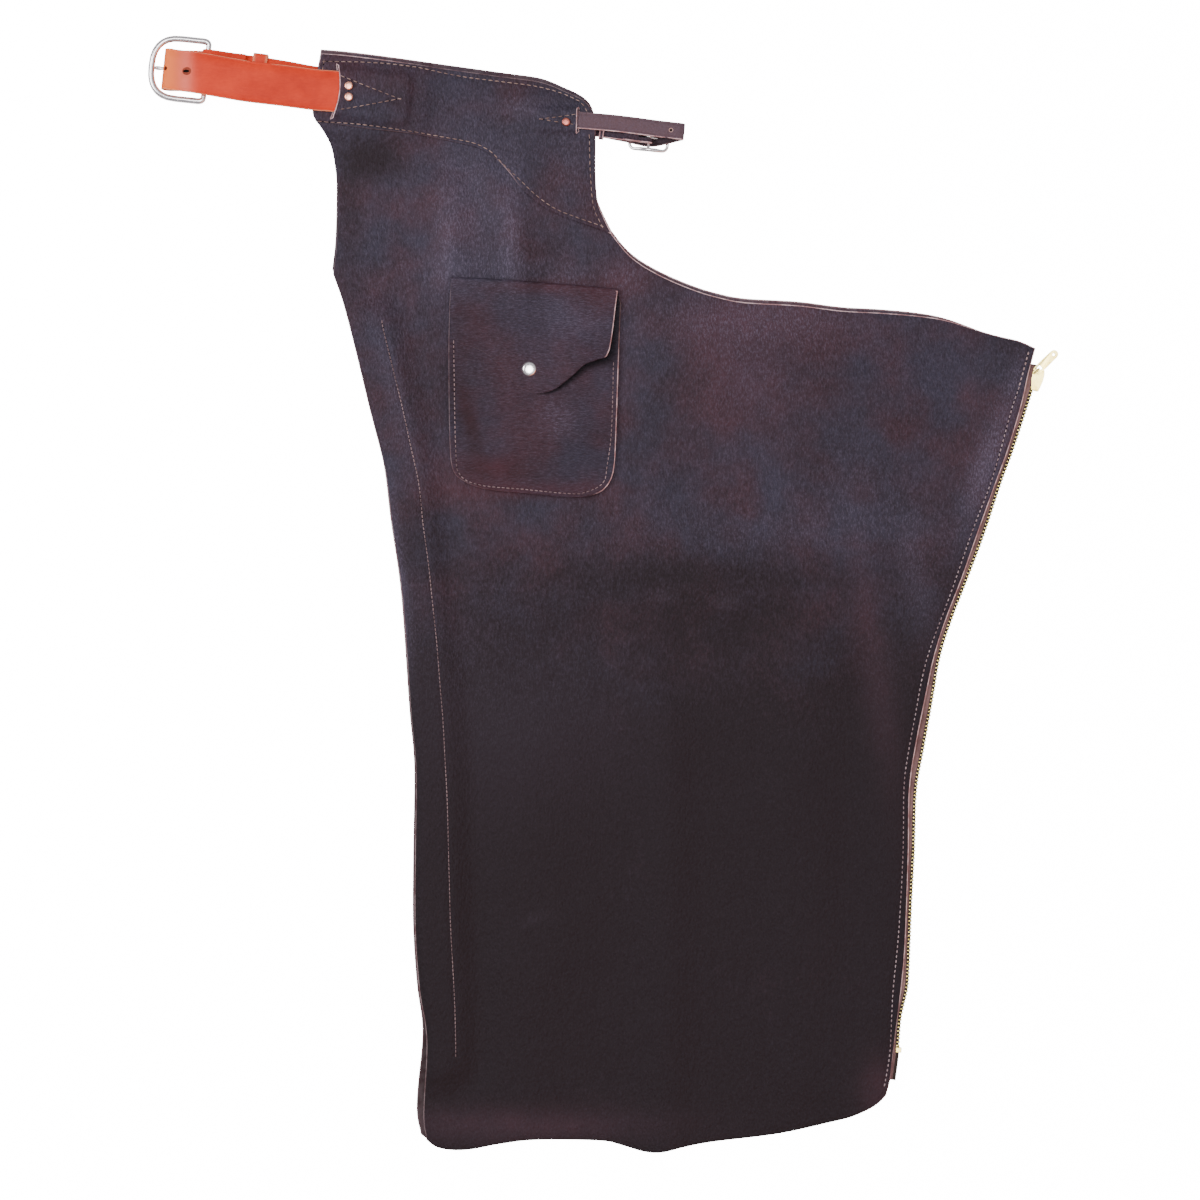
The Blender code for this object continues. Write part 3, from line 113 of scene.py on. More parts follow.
SIDE = [
    (-168, -519), (-171, -495), (-168, -439), (-169, -411), (-175, -375), (-179, -319), (-179, -255),
    (-178, -184), (-179, -153), (-183, -112), (-191, -4), (-201, 66), (-208, 120), (-222, 176),
    (-235, 230), (-247, 276), (-257, 305)]
NECK = [
    (-257, 305), (-254, 334), (-253, 384), (-255, 406), (-259, 427), (-267, 442), (-273, 450)]
YOKE_END = [(-273, 450), (-276, 458), (-272, 486), (-268, 514)]
YOKE_LOWER = [
    (9, 342), (-1, 346), (-30, 356), (-55, 367), (-75, 383), (-90, 402), (-104, 416), (-121, 425),
    (-147, 431), (-178, 437), (-230, 443), (-273, 450)]

# The seam that holds the hidden half of the zip, and the outer edge of the teeth that show
SEAM = [
    (-209, 253), (-200, 216), (-183, 142), (-175, 105), (-166, 30), (-158, -46), (-152, -121),
    (-148, -197), (-145, -311), (-141, -387), (-140, -438)]
TEETH = [
    (408, 190), (391.5, 139), (379.5, 106), (363, 56), (348, 16), (332.5, -24), (321.5, -59), (315, -96),
    (306, -146), (299, -186), (297, -243), (294.5, -290), (292.5, -338), (291, -371), (287.5, -388),
    (284, -404), (282, -429)]
TEETH_IN_SLIDER = [(413, 213), (411, 204)]
TAPE_TOP = [(414, 218)]
TAPE_FOOT = [(281.9, -429.6), (281.2, -440), (278.2, -462)]

# Pocket: the sewn pouch, and the flap with its fold line at the top
POUCH = [
    (-146, 276), (-147, 229), (-146, 148), (-143, 119), (-133, 108), (-112, 100), (-76, 96), (-27, 92),
    (-5, 96), (6, 106), (11, 123), (13, 164), (15, 223), (17, 277)]
FLAP_FOLD = [(-144, 299), (14, 288)]
FLAP_EDGE = [
    (14, 288), (6, 231), (-4, 223), (-17, 218), (-27, 209), (-38, 200), (-49, 193), (-64, 191),
    (-81, 197), (-101, 220), (-117, 232), (-143, 246), (-144, 299)]
POUCH_BULGE = 2.2
FLAP_SKIVE = 1.5
FLAP_SKIVE_OVER = 9.0
FLAP_LIFT = (7.0, -14, 212, 30, 30)  # height, centre and half widths of the edge that stands off

# Rows of sewing, seen from above
YOKE_ROWS = [
    [(-269, 449), (-228, 446), (-178, 439), (-148, 434), (-123, 429), (-107, 421), (-96, 410), (-79, 394),
     (-63, 379), (-42, 365), (-1, 350)],
    [(-265, 506), (-220, 505), (-180, 501), (-133, 492), (-94, 487), (-65, 483), (-42, 477), (-22, 468),
     (-16, 460)],
    [(-13, 435), (-12, 400), (-9, 369), (-1, 350)],
    [(-265, 506), (-266, 499)]]
BELT_TAIL_ROWS = [[(-247, 491), (-193, 470)], [(-193, 470), (-247, 460)]]
CROTCH_TAIL_ROWS = [[(-28, 455), (-59, 451)], [(-59, 451), (-30, 446)]]
ALL_YOKE_ROWS = YOKE_ROWS + BELT_TAIL_ROWS + CROTCH_TAIL_ROWS
POCKET_ROW = [
    (-142, 240), (-140, 139), (-136, 114), (-117, 104), (-76, 100), (-35, 96), (-17, 97), (0, 106),
    (4, 123), (8, 155), (10, 219)]
SIDE_ROW = [
    (-210, 259), (-209, 253), (-200, 216), (-191, 179), (-183, 142), (-175, 105), (-171, 67), (-166, 30),
    (-162, -8), (-158, -46), (-155, -84), (-152, -121), (-150, -159), (-148, -197), (-147, -235),
    (-146, -273), (-145, -311), (-143, -349), (-141, -387), (-140, -425), (-140, -438)]
ZIP_ROW_TOP = [(404, 229), (401, 218), (396, 200)]
ZIP_ROW = [
    (395, 196), (388, 175), (376, 131), (366, 99), (352, 63), (330, 0), (312, -48), (304, -76),
    (297, -113), (290, -151), (286, -183), (285, -247), (281, -320), (276, -372), (274.5, -395),
    (273, -430), (270.5, -450), (267.5, -466)]

# Soft folds of the upper leg, ridges with a bell-shaped section
#    from x    y     to x    y   half width  height
FOLDS = [
    (-93, 403, -84, 300, 20, 3.5),
    (-152, 384, -141, 305, 20, 3.5),
    (-150, 28, 320, 12, 46, 3.5),
    (95, 220, 270, 190, 55, 4.0),
    (62, -120, 60, -540, 22, 3.0),
    (-62, -150, -80, -480, 45, 3.5),
    (190, -70, 205, -450, 45, 3.5),
    (100, 14, 126, -4, 20, 2.5)]

# The mirrored lower leg lies a little up and to the left of the upper one
LOWER_PIVOT = (-170, -500)
LOWER_SHIFT = (-2.4, 4.8)
LOWER_TURN = math.radians(-0.1)
LOWER_ZIP_SHIFT = -8.6
RIGHT_LIFT = 5.8
LEFT_LIFT = 5.8
ZIP_PLANE = PANEL + RIGHT_LIFT - TAPE / 2

# Centre lines of the straps, seen from above
BELT_TOP = [
    (-187, 470), (-252, 477), (-272, 478.5), (-300, 482), (-335, 486), (-354, 489), (-383, 494),
    (-410.9, 498)]
BELT_UNDER = [(-410.9, 499), (-377, 498), (-335, 493), (-302, 488), (-272, 483), (-187, 473)]
STRAP_TOP = [(-44, 450.6), (-24, 450), (13, 447), (52, 442), (74, 439.5)]
STRAP_UNDER = [(44, 437), (26, 439), (5, 442), (-10, 444), (-44, 447)]
STRAP_TAIL = [(74, 439.5), (62, 436.5), (49, 434.5), (38, 435), (5, 442), (-2.0, 443)]

# A tuck is where a strap goes down through a slit and on under the yoke
BELT_TUCK = {"at": (-252, 477), "to": (-187, 470), "half": BELT_HALF, "thick": BELT, "ramp": 8.0}
STRAP_TUCK = {"at": (-24, 450), "to": (-60, 450.8), "half": STRAP_HALF, "thick": STRAP, "ramp": 6.0}
SLIT_REACH = {"belt": 6.0, "strap": 3.4}
SLIT_WIDTH = 1.2
TUCK_ROOM = 0.5  # between a tucked strap's edge and the slope over it
SLIT_BOW = (1.4, 0.0065)  # the belt's slit bulges: at its middle, less with the square of v
TUCK_SLOPE = 22.0
TAIL_END_RAMP = 6.0

# Belt buckle, its fold and its holes
BAR = 2.6
BOW = 3.0
BAR_Z = 9.8
BUCKLE_HALF = 28.6
BUCKLE_ARM = 26.0  # length of its straight sides
BUCKLE_END = 26.2  # reach of its round end beyond them
BUCKLE_SQUARENESS = 2 / 2.55  # power that makes the round end a little square
PRONG = 1.6
PRONG_TIP = (50.5, 4.9)  # along the buckle, height
HEEL_AT = (-377.0, 496.5)
HEEL_TURN = math.radians(174)
PRONG_ACROSS = 0.5
BELT_FOLD = (-410.2, 498.5, 15.0)
HOLE = 1.95
SPARE_HOLE = (-395, 495.8)
FOLD_HOLE_TURN = math.radians(52)
BELT_KEEPER = {"at": (-328, 492), "turn": -0.131, "low": 1.5, "high": 8.6, "wall": 1.5, "length": 14.0}
CROTCH_KEEPER = {"at": (-0.9, 442.8), "turn": -0.121, "low": 1.3, "high": 7.5, "wall": 1.2, "length": 4.6}

# Small buckle
SMALL_BUCKLE_AT = (44.0, 435.0)
SMALL_BUCKLE_TURN = math.radians(-6)
SMALL_BAR = 1.5
SMALL_ARM = 1.9  # radius of its two sides
SMALL_BAR_Z = 7.2
SMALL_PRONG = 1.1
SMALL_HALF = 12.0
SMALL_REACH = 18.0
SMALL_CORNER = 5.0
SMALL_SPARE_HOLE = (64.5, 440.5)


# ---------------------------------------------------------------- curves and distances

def unit(vectors):
    """Each vector at length 1."""
    return vectors / np.linalg.norm(vectors, axis=-1, keepdims=True)


def lengths_along(line):
    """Distance of each point of a line from its start."""
    return np.concatenate([[0], np.cumsum(np.linalg.norm(np.diff(line, axis=0), axis=1))])


def smooth(run, step):
    """Points about step apart on a Catmull-Rom curve through the run's points."""
    knots = [np.array(p, float) for p in run]
    knots = [2 * knots[0] - knots[1]] + knots + [2 * knots[-1] - knots[-2]]
    points = [knots[1]]
    for a, b, c, d in zip(knots, knots[1:], knots[2:], knots[3:]):
        pieces = max(1, round(float(np.linalg.norm(c - b)) / step))
        for i in range(1, pieces + 1):
            t = i / pieces
            bent = (2 * a - 5 * b + 4 * c - d) * t * t + (3 * b - a - 3 * c + d) * t ** 3
            points.append(0.5 * (2 * b + (c - a) * t + bent))
    return points


def resampled(line, step):
    """The polyline with points at even distances along it."""
    line = np.array(line, float)
    along = lengths_along(line)
    stations = np.linspace(0, along[-1], max(2, round(along[-1] / step)) + 1)
    return np.stack([np.interp(stations, along, column) for column in line.T], axis=1)


def spaced(line, step):
    """Points at even distances on a smooth curve through the line's points."""
    return resampled(smooth(line, 4.0), step)


def outline(*runs):
    """A closed outline: the runs end to end, each with its own smooth curve."""
    return np.vstack([spaced(run, EDGE_STEP)[:-1] for run in runs])


def to_left(ways):
    """Flat unit vectors turned a quarter to the left."""
    return np.stack([-ways[..., 1], ways[..., 0]], axis=-1)


def offset(line, distance):
    """The line moved to its left by a distance, at each of its points."""
    line = np.array(line, float)
    return line + distance * to_left(unit(np.gradient(line, axis=0)))


def inset(loop, distance):
    """A closed outline moved inwards."""
    following = np.roll(loop, -1, axis=0)
    before, after = to_left(unit(loop - np.roll(loop, 1, axis=0))), to_left(unit(following - loop))
    middle = unit(before + after)
    reach = 1 / np.maximum((middle * before).sum(1), 0.6)
    turns_left = (loop[:, 0] * following[:, 1] - following[:, 0] * loop[:, 1]).sum() > 0
    return loop + middle * (reach * (distance if turns_left else -distance))[:, None]


def in_parts(measure, points, size=2500):
    """A measure of many points, worked out a part at a time."""
    points = np.atleast_2d(points)
    return np.concatenate([measure(points[i:i + size]) for i in range(0, len(points), size)])


def distance_to(points, line):
    """Distance of each point from a line of many points."""
    line = np.array(line, float)
    start, run = line[:-1], line[1:] - line[:-1]
    length = np.maximum((run ** 2).sum(1), 1e-9)

    def measure(part):
        t = np.clip(((part[:, None] - start) * run).sum(2) / length, 0, 1)
        return np.linalg.norm(part[:, None] - start - t[:, :, None] * run, axis=2).min(1)

    return in_parts(measure, points)


def inside(points, loop):
    """Whether each point lies in a closed outline."""
    a, b = loop, np.roll(loop, -1, axis=0)
    level = np.where(a[:, 1] == b[:, 1], 1.0, b[:, 1] - a[:, 1])

    def measure(part):
        x, y = part[:, :1], part[:, 1:]
        crosses = (a[:, 1] > y) != (b[:, 1] > y)
        reach = a[:, 0] + (y - a[:, 1]) * (b[:, 0] - a[:, 0]) / level
        return (crosses & (x < reach)).sum(1) % 2 == 1

    return in_parts(measure, points)


def closed(loop):
    return np.vstack([loop, loop[:1]])


def outside(points, loop):
    """How far each point lies outside a closed outline, 0 within it."""
    return np.where(inside(points, loop), 0.0, distance_to(points, closed(loop)))


def ease(t):
    """0 up to t = 0, 1 from t = 1 on, and a soft step between."""
    t = np.clip(t, 0.0, 1.0)
    return t * t * (3 - 2 * t)


def carried(turn, u, v):
    """What lies u along and v across a direction, given by its angle, as (x, y)."""
    c, s = math.cos(turn), math.sin(turn)
    return u * c - v * s, u * s + v * c


def patch(points, x, y, wide, high, lean=0):
    """1 at a place, falling softly within a half width and height that may lean."""
    u, v = carried(-math.radians(lean), points[:, 0] - x, points[:, 1] - y)
    return np.exp(-(u / wide) ** 2 - (v / high) ** 2)


def lowered(points):
    """Points of the upper leg carried to the same place on the lower leg."""
    p = np.array(points, float) - LOWER_PIVOT
    return np.stack(carried(LOWER_TURN, p[:, 0], p[:, 1]), axis=1) + LOWER_PIVOT + LOWER_SHIFT


PANEL_LOOP = outline(WAIST_AND_FRONT, CROTCH, ZIP_EDGE, HEM, SIDE, NECK, YOKE_END)
YOKE_LOOP = outline(WAIST_AND_FRONT, YOKE_LOWER, YOKE_END)
ZIP_EDGE_LINE = spaced(ZIP_EDGE, 12.0)
SIDE_LINE = spaced(SIDE, 12.0)
SEAM_LINE = spaced(SEAM, 6.0)
LOWER_TEETH_LINE = lowered(spaced(TEETH, 6.0))
UPPER_TEETH_LINE = spaced(TEETH_IN_SLIDER + TEETH, 6.0)
POUCH_LINE = spaced(POUCH, 3.0)
FOLD_LINE = resampled(FLAP_FOLD, 3.0)
POUCH_LOOP = np.vstack([POUCH_LINE, FOLD_LINE[::-1]])
FLAP_LINE = spaced(FLAP_EDGE, 3.0)
FLAP_LOOP = np.vstack([FOLD_LINE[:-1], FLAP_LINE[:-1]])
FLAP_LEFT = spaced(FLAP_EDGE[-6:-1], 3.0)  # the contour that is pared thin
FLAP_RIGHT = spaced(FLAP_EDGE[:8], 2.0)


def tuck_frame(tuck):
    """The slit's centre, the unit vector on under the yoke, and the one across it."""
    at = np.array(tuck["at"], float)
    run = np.array(tuck["to"], float) - at
    return at, unit(run), to_left(unit(run)), float(np.linalg.norm(run))


def tuck_slope(tuck):
    """Length of the slope on which a strap comes up from its tail to the slit."""
    return min(TUCK_SLOPE, 0.45 * tuck_frame(tuck)[3])


def tuck_box(tuck, start, end, half):
    """Corners of a rectangle along the tuck."""
    at, way, across, _ = tuck_frame(tuck)
    corners = [(start, -half), (end, -half), (end, half), (start, half)]
    return np.array([at + way * u + across * v for u, v in corners])


def tuck_lines(tuck):
    """Lines on which the yoke over a tucked strap changes slope."""
    length = tuck_frame(tuck)[3]
    half = tuck["half"] + TUCK_ROOM
    return [resampled(tuck_box(tuck, 1.0, length + 1 + spread, half + spread), 3.0)
            for spread in (0.2, tuck["ramp"] * 0.5, tuck["ramp"])]


def slit_bow(tuck, v):
    """How far the slit is bent along the tuck at a distance v from its middle."""
    middle, fall = SLIT_BOW
    return (middle - fall * v ** 2) * (tuck["half"] == BELT_HALF)


def slit(tuck, reach):
    """The slit's outline, as long as the strap is wide with the ramp on each side."""
    box = tuck_box(tuck, -SLIT_WIDTH / 2, SLIT_WIDTH / 2, tuck["half"] + TUCK_ROOM + reach)
    loop = resampled(closed(box), 2.5)[:-1]
    at, way, across, _ = tuck_frame(tuck)
    return loop + np.outer(slit_bow(tuck, (loop - at) @ across), way)


SLITS = [slit(BELT_TUCK, SLIT_REACH["belt"]), slit(STRAP_TUCK, SLIT_REACH["strap"])]


# ---------------------------------------------------------------- heights of the layers

# Slopes beside what lies under a panel: level up to a distance, down over a width
LOWER_YOKE_SLOPE = (0.5, 9.0)
YOKE_SLOPE = (0, 30)
LOWER_SPREAD = (5.0, 10.0)  # beside a strap
UPPER_SPREAD = (9.0, 22.0)
RIGHT_SLOPE = (18, 50)
LEFT_SLOPE = (12, 32)
HIDDEN_ZIP = 15.0  # from the seam to the middle of the hidden zip

# Where the folds and waves die away: none up to a distance, full over a width
QUIET_ZIP = (20, 40)
QUIET_SEAM = (14, 35)
QUIET_YOKE = (0, 25)
WAVE_MEAN = 0.55
#        size, depth, slice of the noise
WAVES = [(80, 1.0, 3.1), (27, 0.45, 7.7)]
POUCH_SLOPE = (8, 40)


def strap_patch(points, tuck, spread, ramp, both_ways):
    """1 over a strap's tail, falling to 0 within a ramp outside it."""
    at, way, across, length = tuck_frame(tuck)
    p = np.atleast_2d(points) - at
    u, v = p @ way, np.abs(p @ across)
    beside = 1 - ease((v - tuck["half"] - spread) / ramp)
    beyond = 1 - ease((u - length - spread) / ramp)
    if both_ways:
        return beside * beyond
    return beside * (1 - ease((u - length - 1) / TAIL_END_RAMP)) * (u > slit_bow(tuck, p @ across))


def on_floor(points):
    return np.zeros(len(points))


def lower_underside(points):
    """Underside of the lower panel: raised over its yoke and over the straps between them."""
    off_yoke = beyond(outside(points, lowered(YOKE_LOOP)), LOWER_YOKE_SLOPE)
    height = (YOKE + GAP) * (1 - off_yoke)
    for tuck in (BELT_TUCK, STRAP_TUCK):
        height = height + (tuck["thick"] + GAP) * strap_patch(points, tuck, *LOWER_SPREAD, True)
    return height


def unevenness(points):
    """The hide's own slight waves, never below 0."""
    height = WAVE_MEAN
    for size, depth, level in WAVES:
        slices = [noise.noise(Vector((x / size, y / size, level))) for x, y in points]
        height = height + depth * np.array(slices)
    return np.maximum(0.0, height)


def beyond(distance, limits):
    """0 up to a distance, 1 further on by a width, and a soft step between."""
    return ease((distance - limits[0]) / limits[1])


def folds(points):
    """Height of the soft folds, which die away at the zip, the seam and the yoke."""
    height = unevenness(points)
    for x0, y0, x1, y1, width, rise in FOLDS:
        height = height + rise * np.exp(-(distance_to(points, [(x0, y0), (x1, y1)]) / width) ** 2)
    quiet = beyond(distance_to(points, ZIP_EDGE_LINE), QUIET_ZIP)
    quiet = quiet * beyond(distance_to(points, SEAM_LINE), QUIET_SEAM)
    return height * quiet * beyond(outside(points, YOKE_LOOP), QUIET_YOKE)


def upper_underside(points):
    """Underside of the upper panel: over all that lies under it, plus its own folds."""
    points = np.atleast_2d(points)
    off_yoke = beyond(outside(points, YOKE_LOOP), YOKE_SLOPE)
    height = PANEL + GAP + (YOKE + 2 * GAP) * (1 - off_yoke)
    for tuck in (BELT_TUCK, STRAP_TUCK):
        height = height + (tuck["thick"] + GAP) * strap_patch(points, tuck, *UPPER_SPREAD, True)
    height = height + RIGHT_LIFT * (1 - beyond(distance_to(points, ZIP_EDGE_LINE), RIGHT_SLOPE))
    hidden_zip = offset(SEAM_LINE, -HIDDEN_ZIP)
    over_zip = LEFT_LIFT * (1 - beyond(distance_to(points, hidden_zip), LEFT_SLOPE))
    at_edge = 0.4 + 0.6 * ease(distance_to(points, SIDE_LINE) / 4.0)
    return height + over_zip * at_edge + folds(points)


def upper_top(points):
    """Top of the upper panel."""
    return upper_underside(points) + PANEL


def tuck_rise(tuck, u):
    """1 at the slit, 0 where the tail lies flat."""
    stations = np.array([0.0, 1 / 3, 2 / 3, 1.0])
    return np.interp(np.asarray(u) / tuck_slope(tuck), stations, 1 - ease(stations))


def yoke_underside(points):
    """Underside of the upper yoke, raised off the panel over each tucked strap."""
    points = np.atleast_2d(points)
    height = upper_top(points) + GAP
    for tuck in (BELT_TUCK, STRAP_TUCK):
        at, way, _, _ = tuck_frame(tuck)
        u = (points - at) @ way
        step = tuck["thick"] + GAP + (YOKE + GAP) * tuck_rise(tuck, u)
        height = height + step * strap_patch(points, tuck, TUCK_ROOM, tuck["ramp"], False)
    return height


def yoke_top(points):
    return yoke_underside(points) + YOKE


def pocket_underside(points, layers):
    """Underside of a pocket layer, which stands off the panel a little away from its sewing."""
    points = np.atleast_2d(points)
    bulge = POUCH_BULGE * beyond(distance_to(points, POUCH_LINE), POUCH_SLOPE) * (layers > 0)
    height = upper_top(points) + GAP + layers * (POCKET + GAP) + bulge
    if layers == 2:
        height = height + FLAP_LIFT[0] * patch(points, *FLAP_LIFT[1:])
    return height


def pocket_top(points):
    return pocket_underside(points, 1) + POCKET


# ---------------------------------------------------------------- shader maths and materials

def add_node(tree, kind, settings=None, inputs=None):
    """Any node: its settings first, then the values or links of its sockets."""
    made = tree.nodes.new(kind)
    for key, value in (settings or {}).items():
        setattr(made, key, value)
    for key, value in (inputs or {}).items():
        source = getattr(value, "socket", value)
        if isinstance(source, bpy.types.NodeSocket):
            tree.links.new(source, made.inputs[key])
        else:
            made.inputs[key].default_value = value
    return made


class Value:
    """A socket of a material's node tree; arithmetic on it adds Math nodes."""

    def __init__(self, finish, socket):
        self.finish = finish
        self.socket = socket

    def maths(self, operation, *others, clamp=False):
        settings = {"operation": operation, "use_clamp": clamp}
        return self.finish.node("ShaderNodeMath", settings, dict(enumerate((self,) + others)))

    def __add__(self, other):
        return self.maths("ADD", other)

    def __sub__(self, other):
        return self.maths("SUBTRACT", other)

    def __mul__(self, other):
        return self.maths("MULTIPLY", other)

    def __rsub__(self, other):
        return self.finish.node("ShaderNodeMath", {"operation": "SUBTRACT"}, {0: other, 1: self})

    __radd__ = __add__
    __rmul__ = __mul__

    def clamped(self):
        return self.maths("ADD", 0.0, clamp=True)

    def above(self, low, high):
        """0 below low, 1 above high, and a soft step between."""
        return self.finish.node("ShaderNodeMapRange", {"interpolation_type": "SMOOTHSTEP"},
                                {"Value": self, "From Min": low, "From Max": high})


class Shading:
    """Nodes in a tree whose last shader takes their values."""

    def __init__(self, tree, shader, place):
        self.tree = tree
        self.shader = tree.nodes[shader]
        self.place = self.node("ShaderNodeTexCoord", output=place)

    def node(self, kind, settings=None, inputs=None, output=0):
        return Value(self, add_node(self.tree, kind, settings, inputs).outputs[output])

    def stretched(self, *scales):
        """Coordinates with their own scale along each axis."""
        return self.node("ShaderNodeVectorMath", {"operation": "MULTIPLY"}, {0: self.place, 1: scales})

    def noise(self, scale, detail=3.0, roughness=0.55, vector=None):
        values = {"Vector": vector or self.place, "Scale": scale, "Detail": detail, "Roughness": roughness}
        return self.node("ShaderNodeTexNoise", None, values)

    def cells(self, scale, vector=None):
        return self.node("ShaderNodeTexVoronoi", None, {"Vector": vector or self.place, "Scale": scale})

    def attribute(self, name):
        return self.node("ShaderNodeAttribute", {"attribute_name": name}, output="Fac")

    def mix(self, factor, first, second):
        """A colour between two colours."""
        first, second = ((*c, 1.0) if isinstance(c, tuple) else c for c in (first, second))
        return self.node("ShaderNodeMix", {"data_type": "RGBA"}, {0: factor, 6: first, 7: second}, output=2)

    def set(self, socket, value):
        self.tree.links.new(value.socket, self.shader.inputs[socket])


class Finish(Shading):
    """A material with a Principled shader, built from nodes."""

    def __init__(self, name, uniform):
        self.material = bpy.data.materials.new(name)
        self.material.use_nodes = True
        super().__init__(self.material.node_tree, "Principled BSDF", "Object")
        for socket, value in uniform.items():
            self.shader.inputs[socket].default_value = value

    def bump(self, *layers):
        """Bump from layers of (height, distance in metres), the coarsest first."""
        normal = None
        for height, distance in layers:
            values = {"Height": height, "Distance": distance, "Strength": 1.0}
            if normal:
                values["Normal"] = normal
            normal = self.node("ShaderNodeBump", None, values)
        self.set("Normal", normal)


# Base colours of the hide
LEATHER_DEEP = (0.0145, 0.0091, 0.0088)
LEATHER_BLUE = (0.038, 0.034, 0.052)
LEATHER_RED = (0.060, 0.026, 0.034)
# bluish pale: wear with painted sheen
LEATHER_WORN_SHEEN = (0.125, 0.098, 0.142)
LEATHER_WARM = (0.085, 0.022, 0.026)
LEATHER_FADED = (0.185, 0.108, 0.118)
CUT_EDGE = (0.86, 0.60, 0.60)
CUT_EDGE_DARK = (0.46, 0.24, 0.24)
# painted shadow: near black
SHADOW = (0.002, 0.0015, 0.0015)


def oiled_leather(name, wrinkle_x, wrinkle_y, lightness, fading=0.0):
    """Pull-up hide, burgundy to bluish black: clouds, wrinkles one way, pebbles and a pale cut edge; its
    bluish pale patches are wear with painted sheen, its specks painted highlights, and its dark marks partly
    painted shade and shadow.
    """
    hide = Finish(name, {"Specular IOR Level": 0.2, "Specular Tint": (0.92, 0.82, 1.0, 1.0)})
    cloud = hide.noise(7.0, 3.0)
    hue = hide.noise(17.0, 3.0, 0.5)
    blotch = hide.noise(60.0, 3.0, 0.55)
    wrinkle = hide.noise(1.0, 3.0, 0.6, hide.stretched(wrinkle_x, wrinkle_y, 90.0))
    fine = hide.noise(1000.0, 2.0, 0.6)
    pebble = hide.cells(1.0, hide.stretched(wrinkle_x * 1.2, wrinkle_y * 1.7, 300.0))
    rubbed = hide.attribute("rubbed")
    warm = hide.attribute("warm")
    deep = hide.attribute("deep")
    edge = hide.attribute("edge")
    # deep darkens the tone: darker towards the bottom, and painted shade in hollows and along folds
    tone = cloud * 0.8 + blotch * 0.32 + wrinkle * 0.7 + fine * 0.35 - deep * 0.6 - (0.58 - lightness)
    tone = tone.above(0.0, 1.0)
    middle = hide.mix((hue + warm * 0.2).above(0.33, 0.68), LEATHER_BLUE, LEATHER_RED)
    base = hide.mix(fading, hide.mix(tone, LEATHER_DEEP, middle), LEATHER_FADED)
    base = hide.mix((warm * (0.2 + blotch)).clamped(), base, LEATHER_WARM)
    # painted highlights: small bluish specks on the grain, standing in for glints
    speckle = hide.noise(1.0, 3.0, 0.75, hide.stretched(wrinkle_x * 1.9, wrinkle_y * 1.5, 300.0))
    highlight_fleck = speckle.above(0.45, 0.66) * (0.35 + wrinkle) * (1 - deep * 0.8).clamped()
    # the worn patches take the bluish pale tone: wear with painted sheen on folds and edges
    base = hide.mix((highlight_fleck * (0.24 + rubbed * 0.7) + rubbed * 0.32).clamped(), base, LEATHER_WORN_SHEEN)
    raw = hide.mix(hide.noise(90.0, 2.0).above(0.35, 0.62), CUT_EDGE_DARK, CUT_EDGE)
    base = hide.mix(edge.above(0.2, 0.6) * hide.attribute("pale"), base, raw)
    # painted shadow, near black, where the shadow mark is set
    base = hide.mix(hide.attribute("shadow"), base, SHADOW)
    hide.set("Base Color", base)
    hide.set("Roughness", (0.56 - tone * 0.12 + fine * 0.12 + edge * 0.2 - rubbed * 0.08).clamped())
    hide.bump((blotch, 0.0005), (wrinkle, 0.0008), (1 - pebble, 0.0004), (fine, 0.0001))
    return hide.material


def belt_leather():
    """Smooth reddish-tan strap leather, paler where it bends and along its edges, with a painted highlight
    band beside the fold.
    """
    hide = Finish("belt_leather", {"Specular IOR Level": 0.16})
    cloud = hide.noise(34.0, 5.0, 0.6)
    grain = hide.noise(1.0, 4.0, 0.6, hide.stretched(160.0, 620.0, 300.0))
    pore = hide.cells(1300.0)
    edge = hide.attribute("edge")
    bend = hide.attribute("bend")
    tone = (cloud * 1.5 + grain * 0.5 - 0.5).clamped()
    base = hide.mix(tone, (0.50, 0.022, 0.006), (0.83, 0.060, 0.017))
    base = hide.mix(bend.clamped(), base, (1.0, 0.20, 0.040))
    # painted highlight: a pinkish white band where the strap curves down to its fold
    base = hide.mix((hide.attribute("shine") * (cloud * 0.7 + 0.2)).clamped(), base, (1.0, 0.24, 0.17))
    base = hide.mix(edge.above(0.3, 0.7) * 0.75, base, (0.92, 0.38, 0.20))
    hide.set("Base Color", base)
    hide.set("Roughness", 0.42 + grain * 0.16)
    hide.bump((cloud, 0.0005), (pore, 0.00006), (grain, 0.00010))
    return hide.material


def metal(name, metallic, colour, dark, roughness, scratch):
    """A plated metal with faint scratches and a little tarnish."""
    plate = Finish(name, {"Metallic": metallic})
    cloud = plate.noise(120.0, 3.0)
    marks = plate.noise(1.0, 3.0, 0.7, plate.stretched(300.0, 4200.0, 900.0))
    plate.set("Base Color", plate.mix(cloud.above(0.45, 0.8), colour, dark))
    plate.set("Roughness", (roughness + marks * scratch + cloud * 0.06).clamped())
    plate.bump((marks, 0.00003))
    return plate.material


def zip_cloth():
    """Herringbone tape, brown to burgundy."""
    cloth = Finish("zip_tape", {"Specular IOR Level": 0.25, "Sheen Weight": 0.3, "Sheen Roughness": 0.4})
    along = cloth.attribute("along")
    across = cloth.attribute("across")
    slant = (along + across * 1.2).maths("MULTIPLY", 4200.0).maths("SINE")
    cord = (across * 5200.0).maths("SINE")
    weave = slant * 0.5 + cord * 0.5
    shade = (weave * 0.25 + cloth.noise(60.0, 3.0) + 0.05).above(0.3, 0.8)
    body = cloth.mix(shade, (0.13, 0.062, 0.060), (0.31, 0.180, 0.172))
    bead = across.above(BEAD_FROM * MM, (BEAD_FROM + 0.4) * MM)
    cloth.set("Base Color", cloth.mix(bead, body, (0.030, 0.018, 0.014)))
    cloth.set("Roughness", 0.72 + shade * 0.15)
    cloth.bump((weave, 0.00015))
    return cloth.material


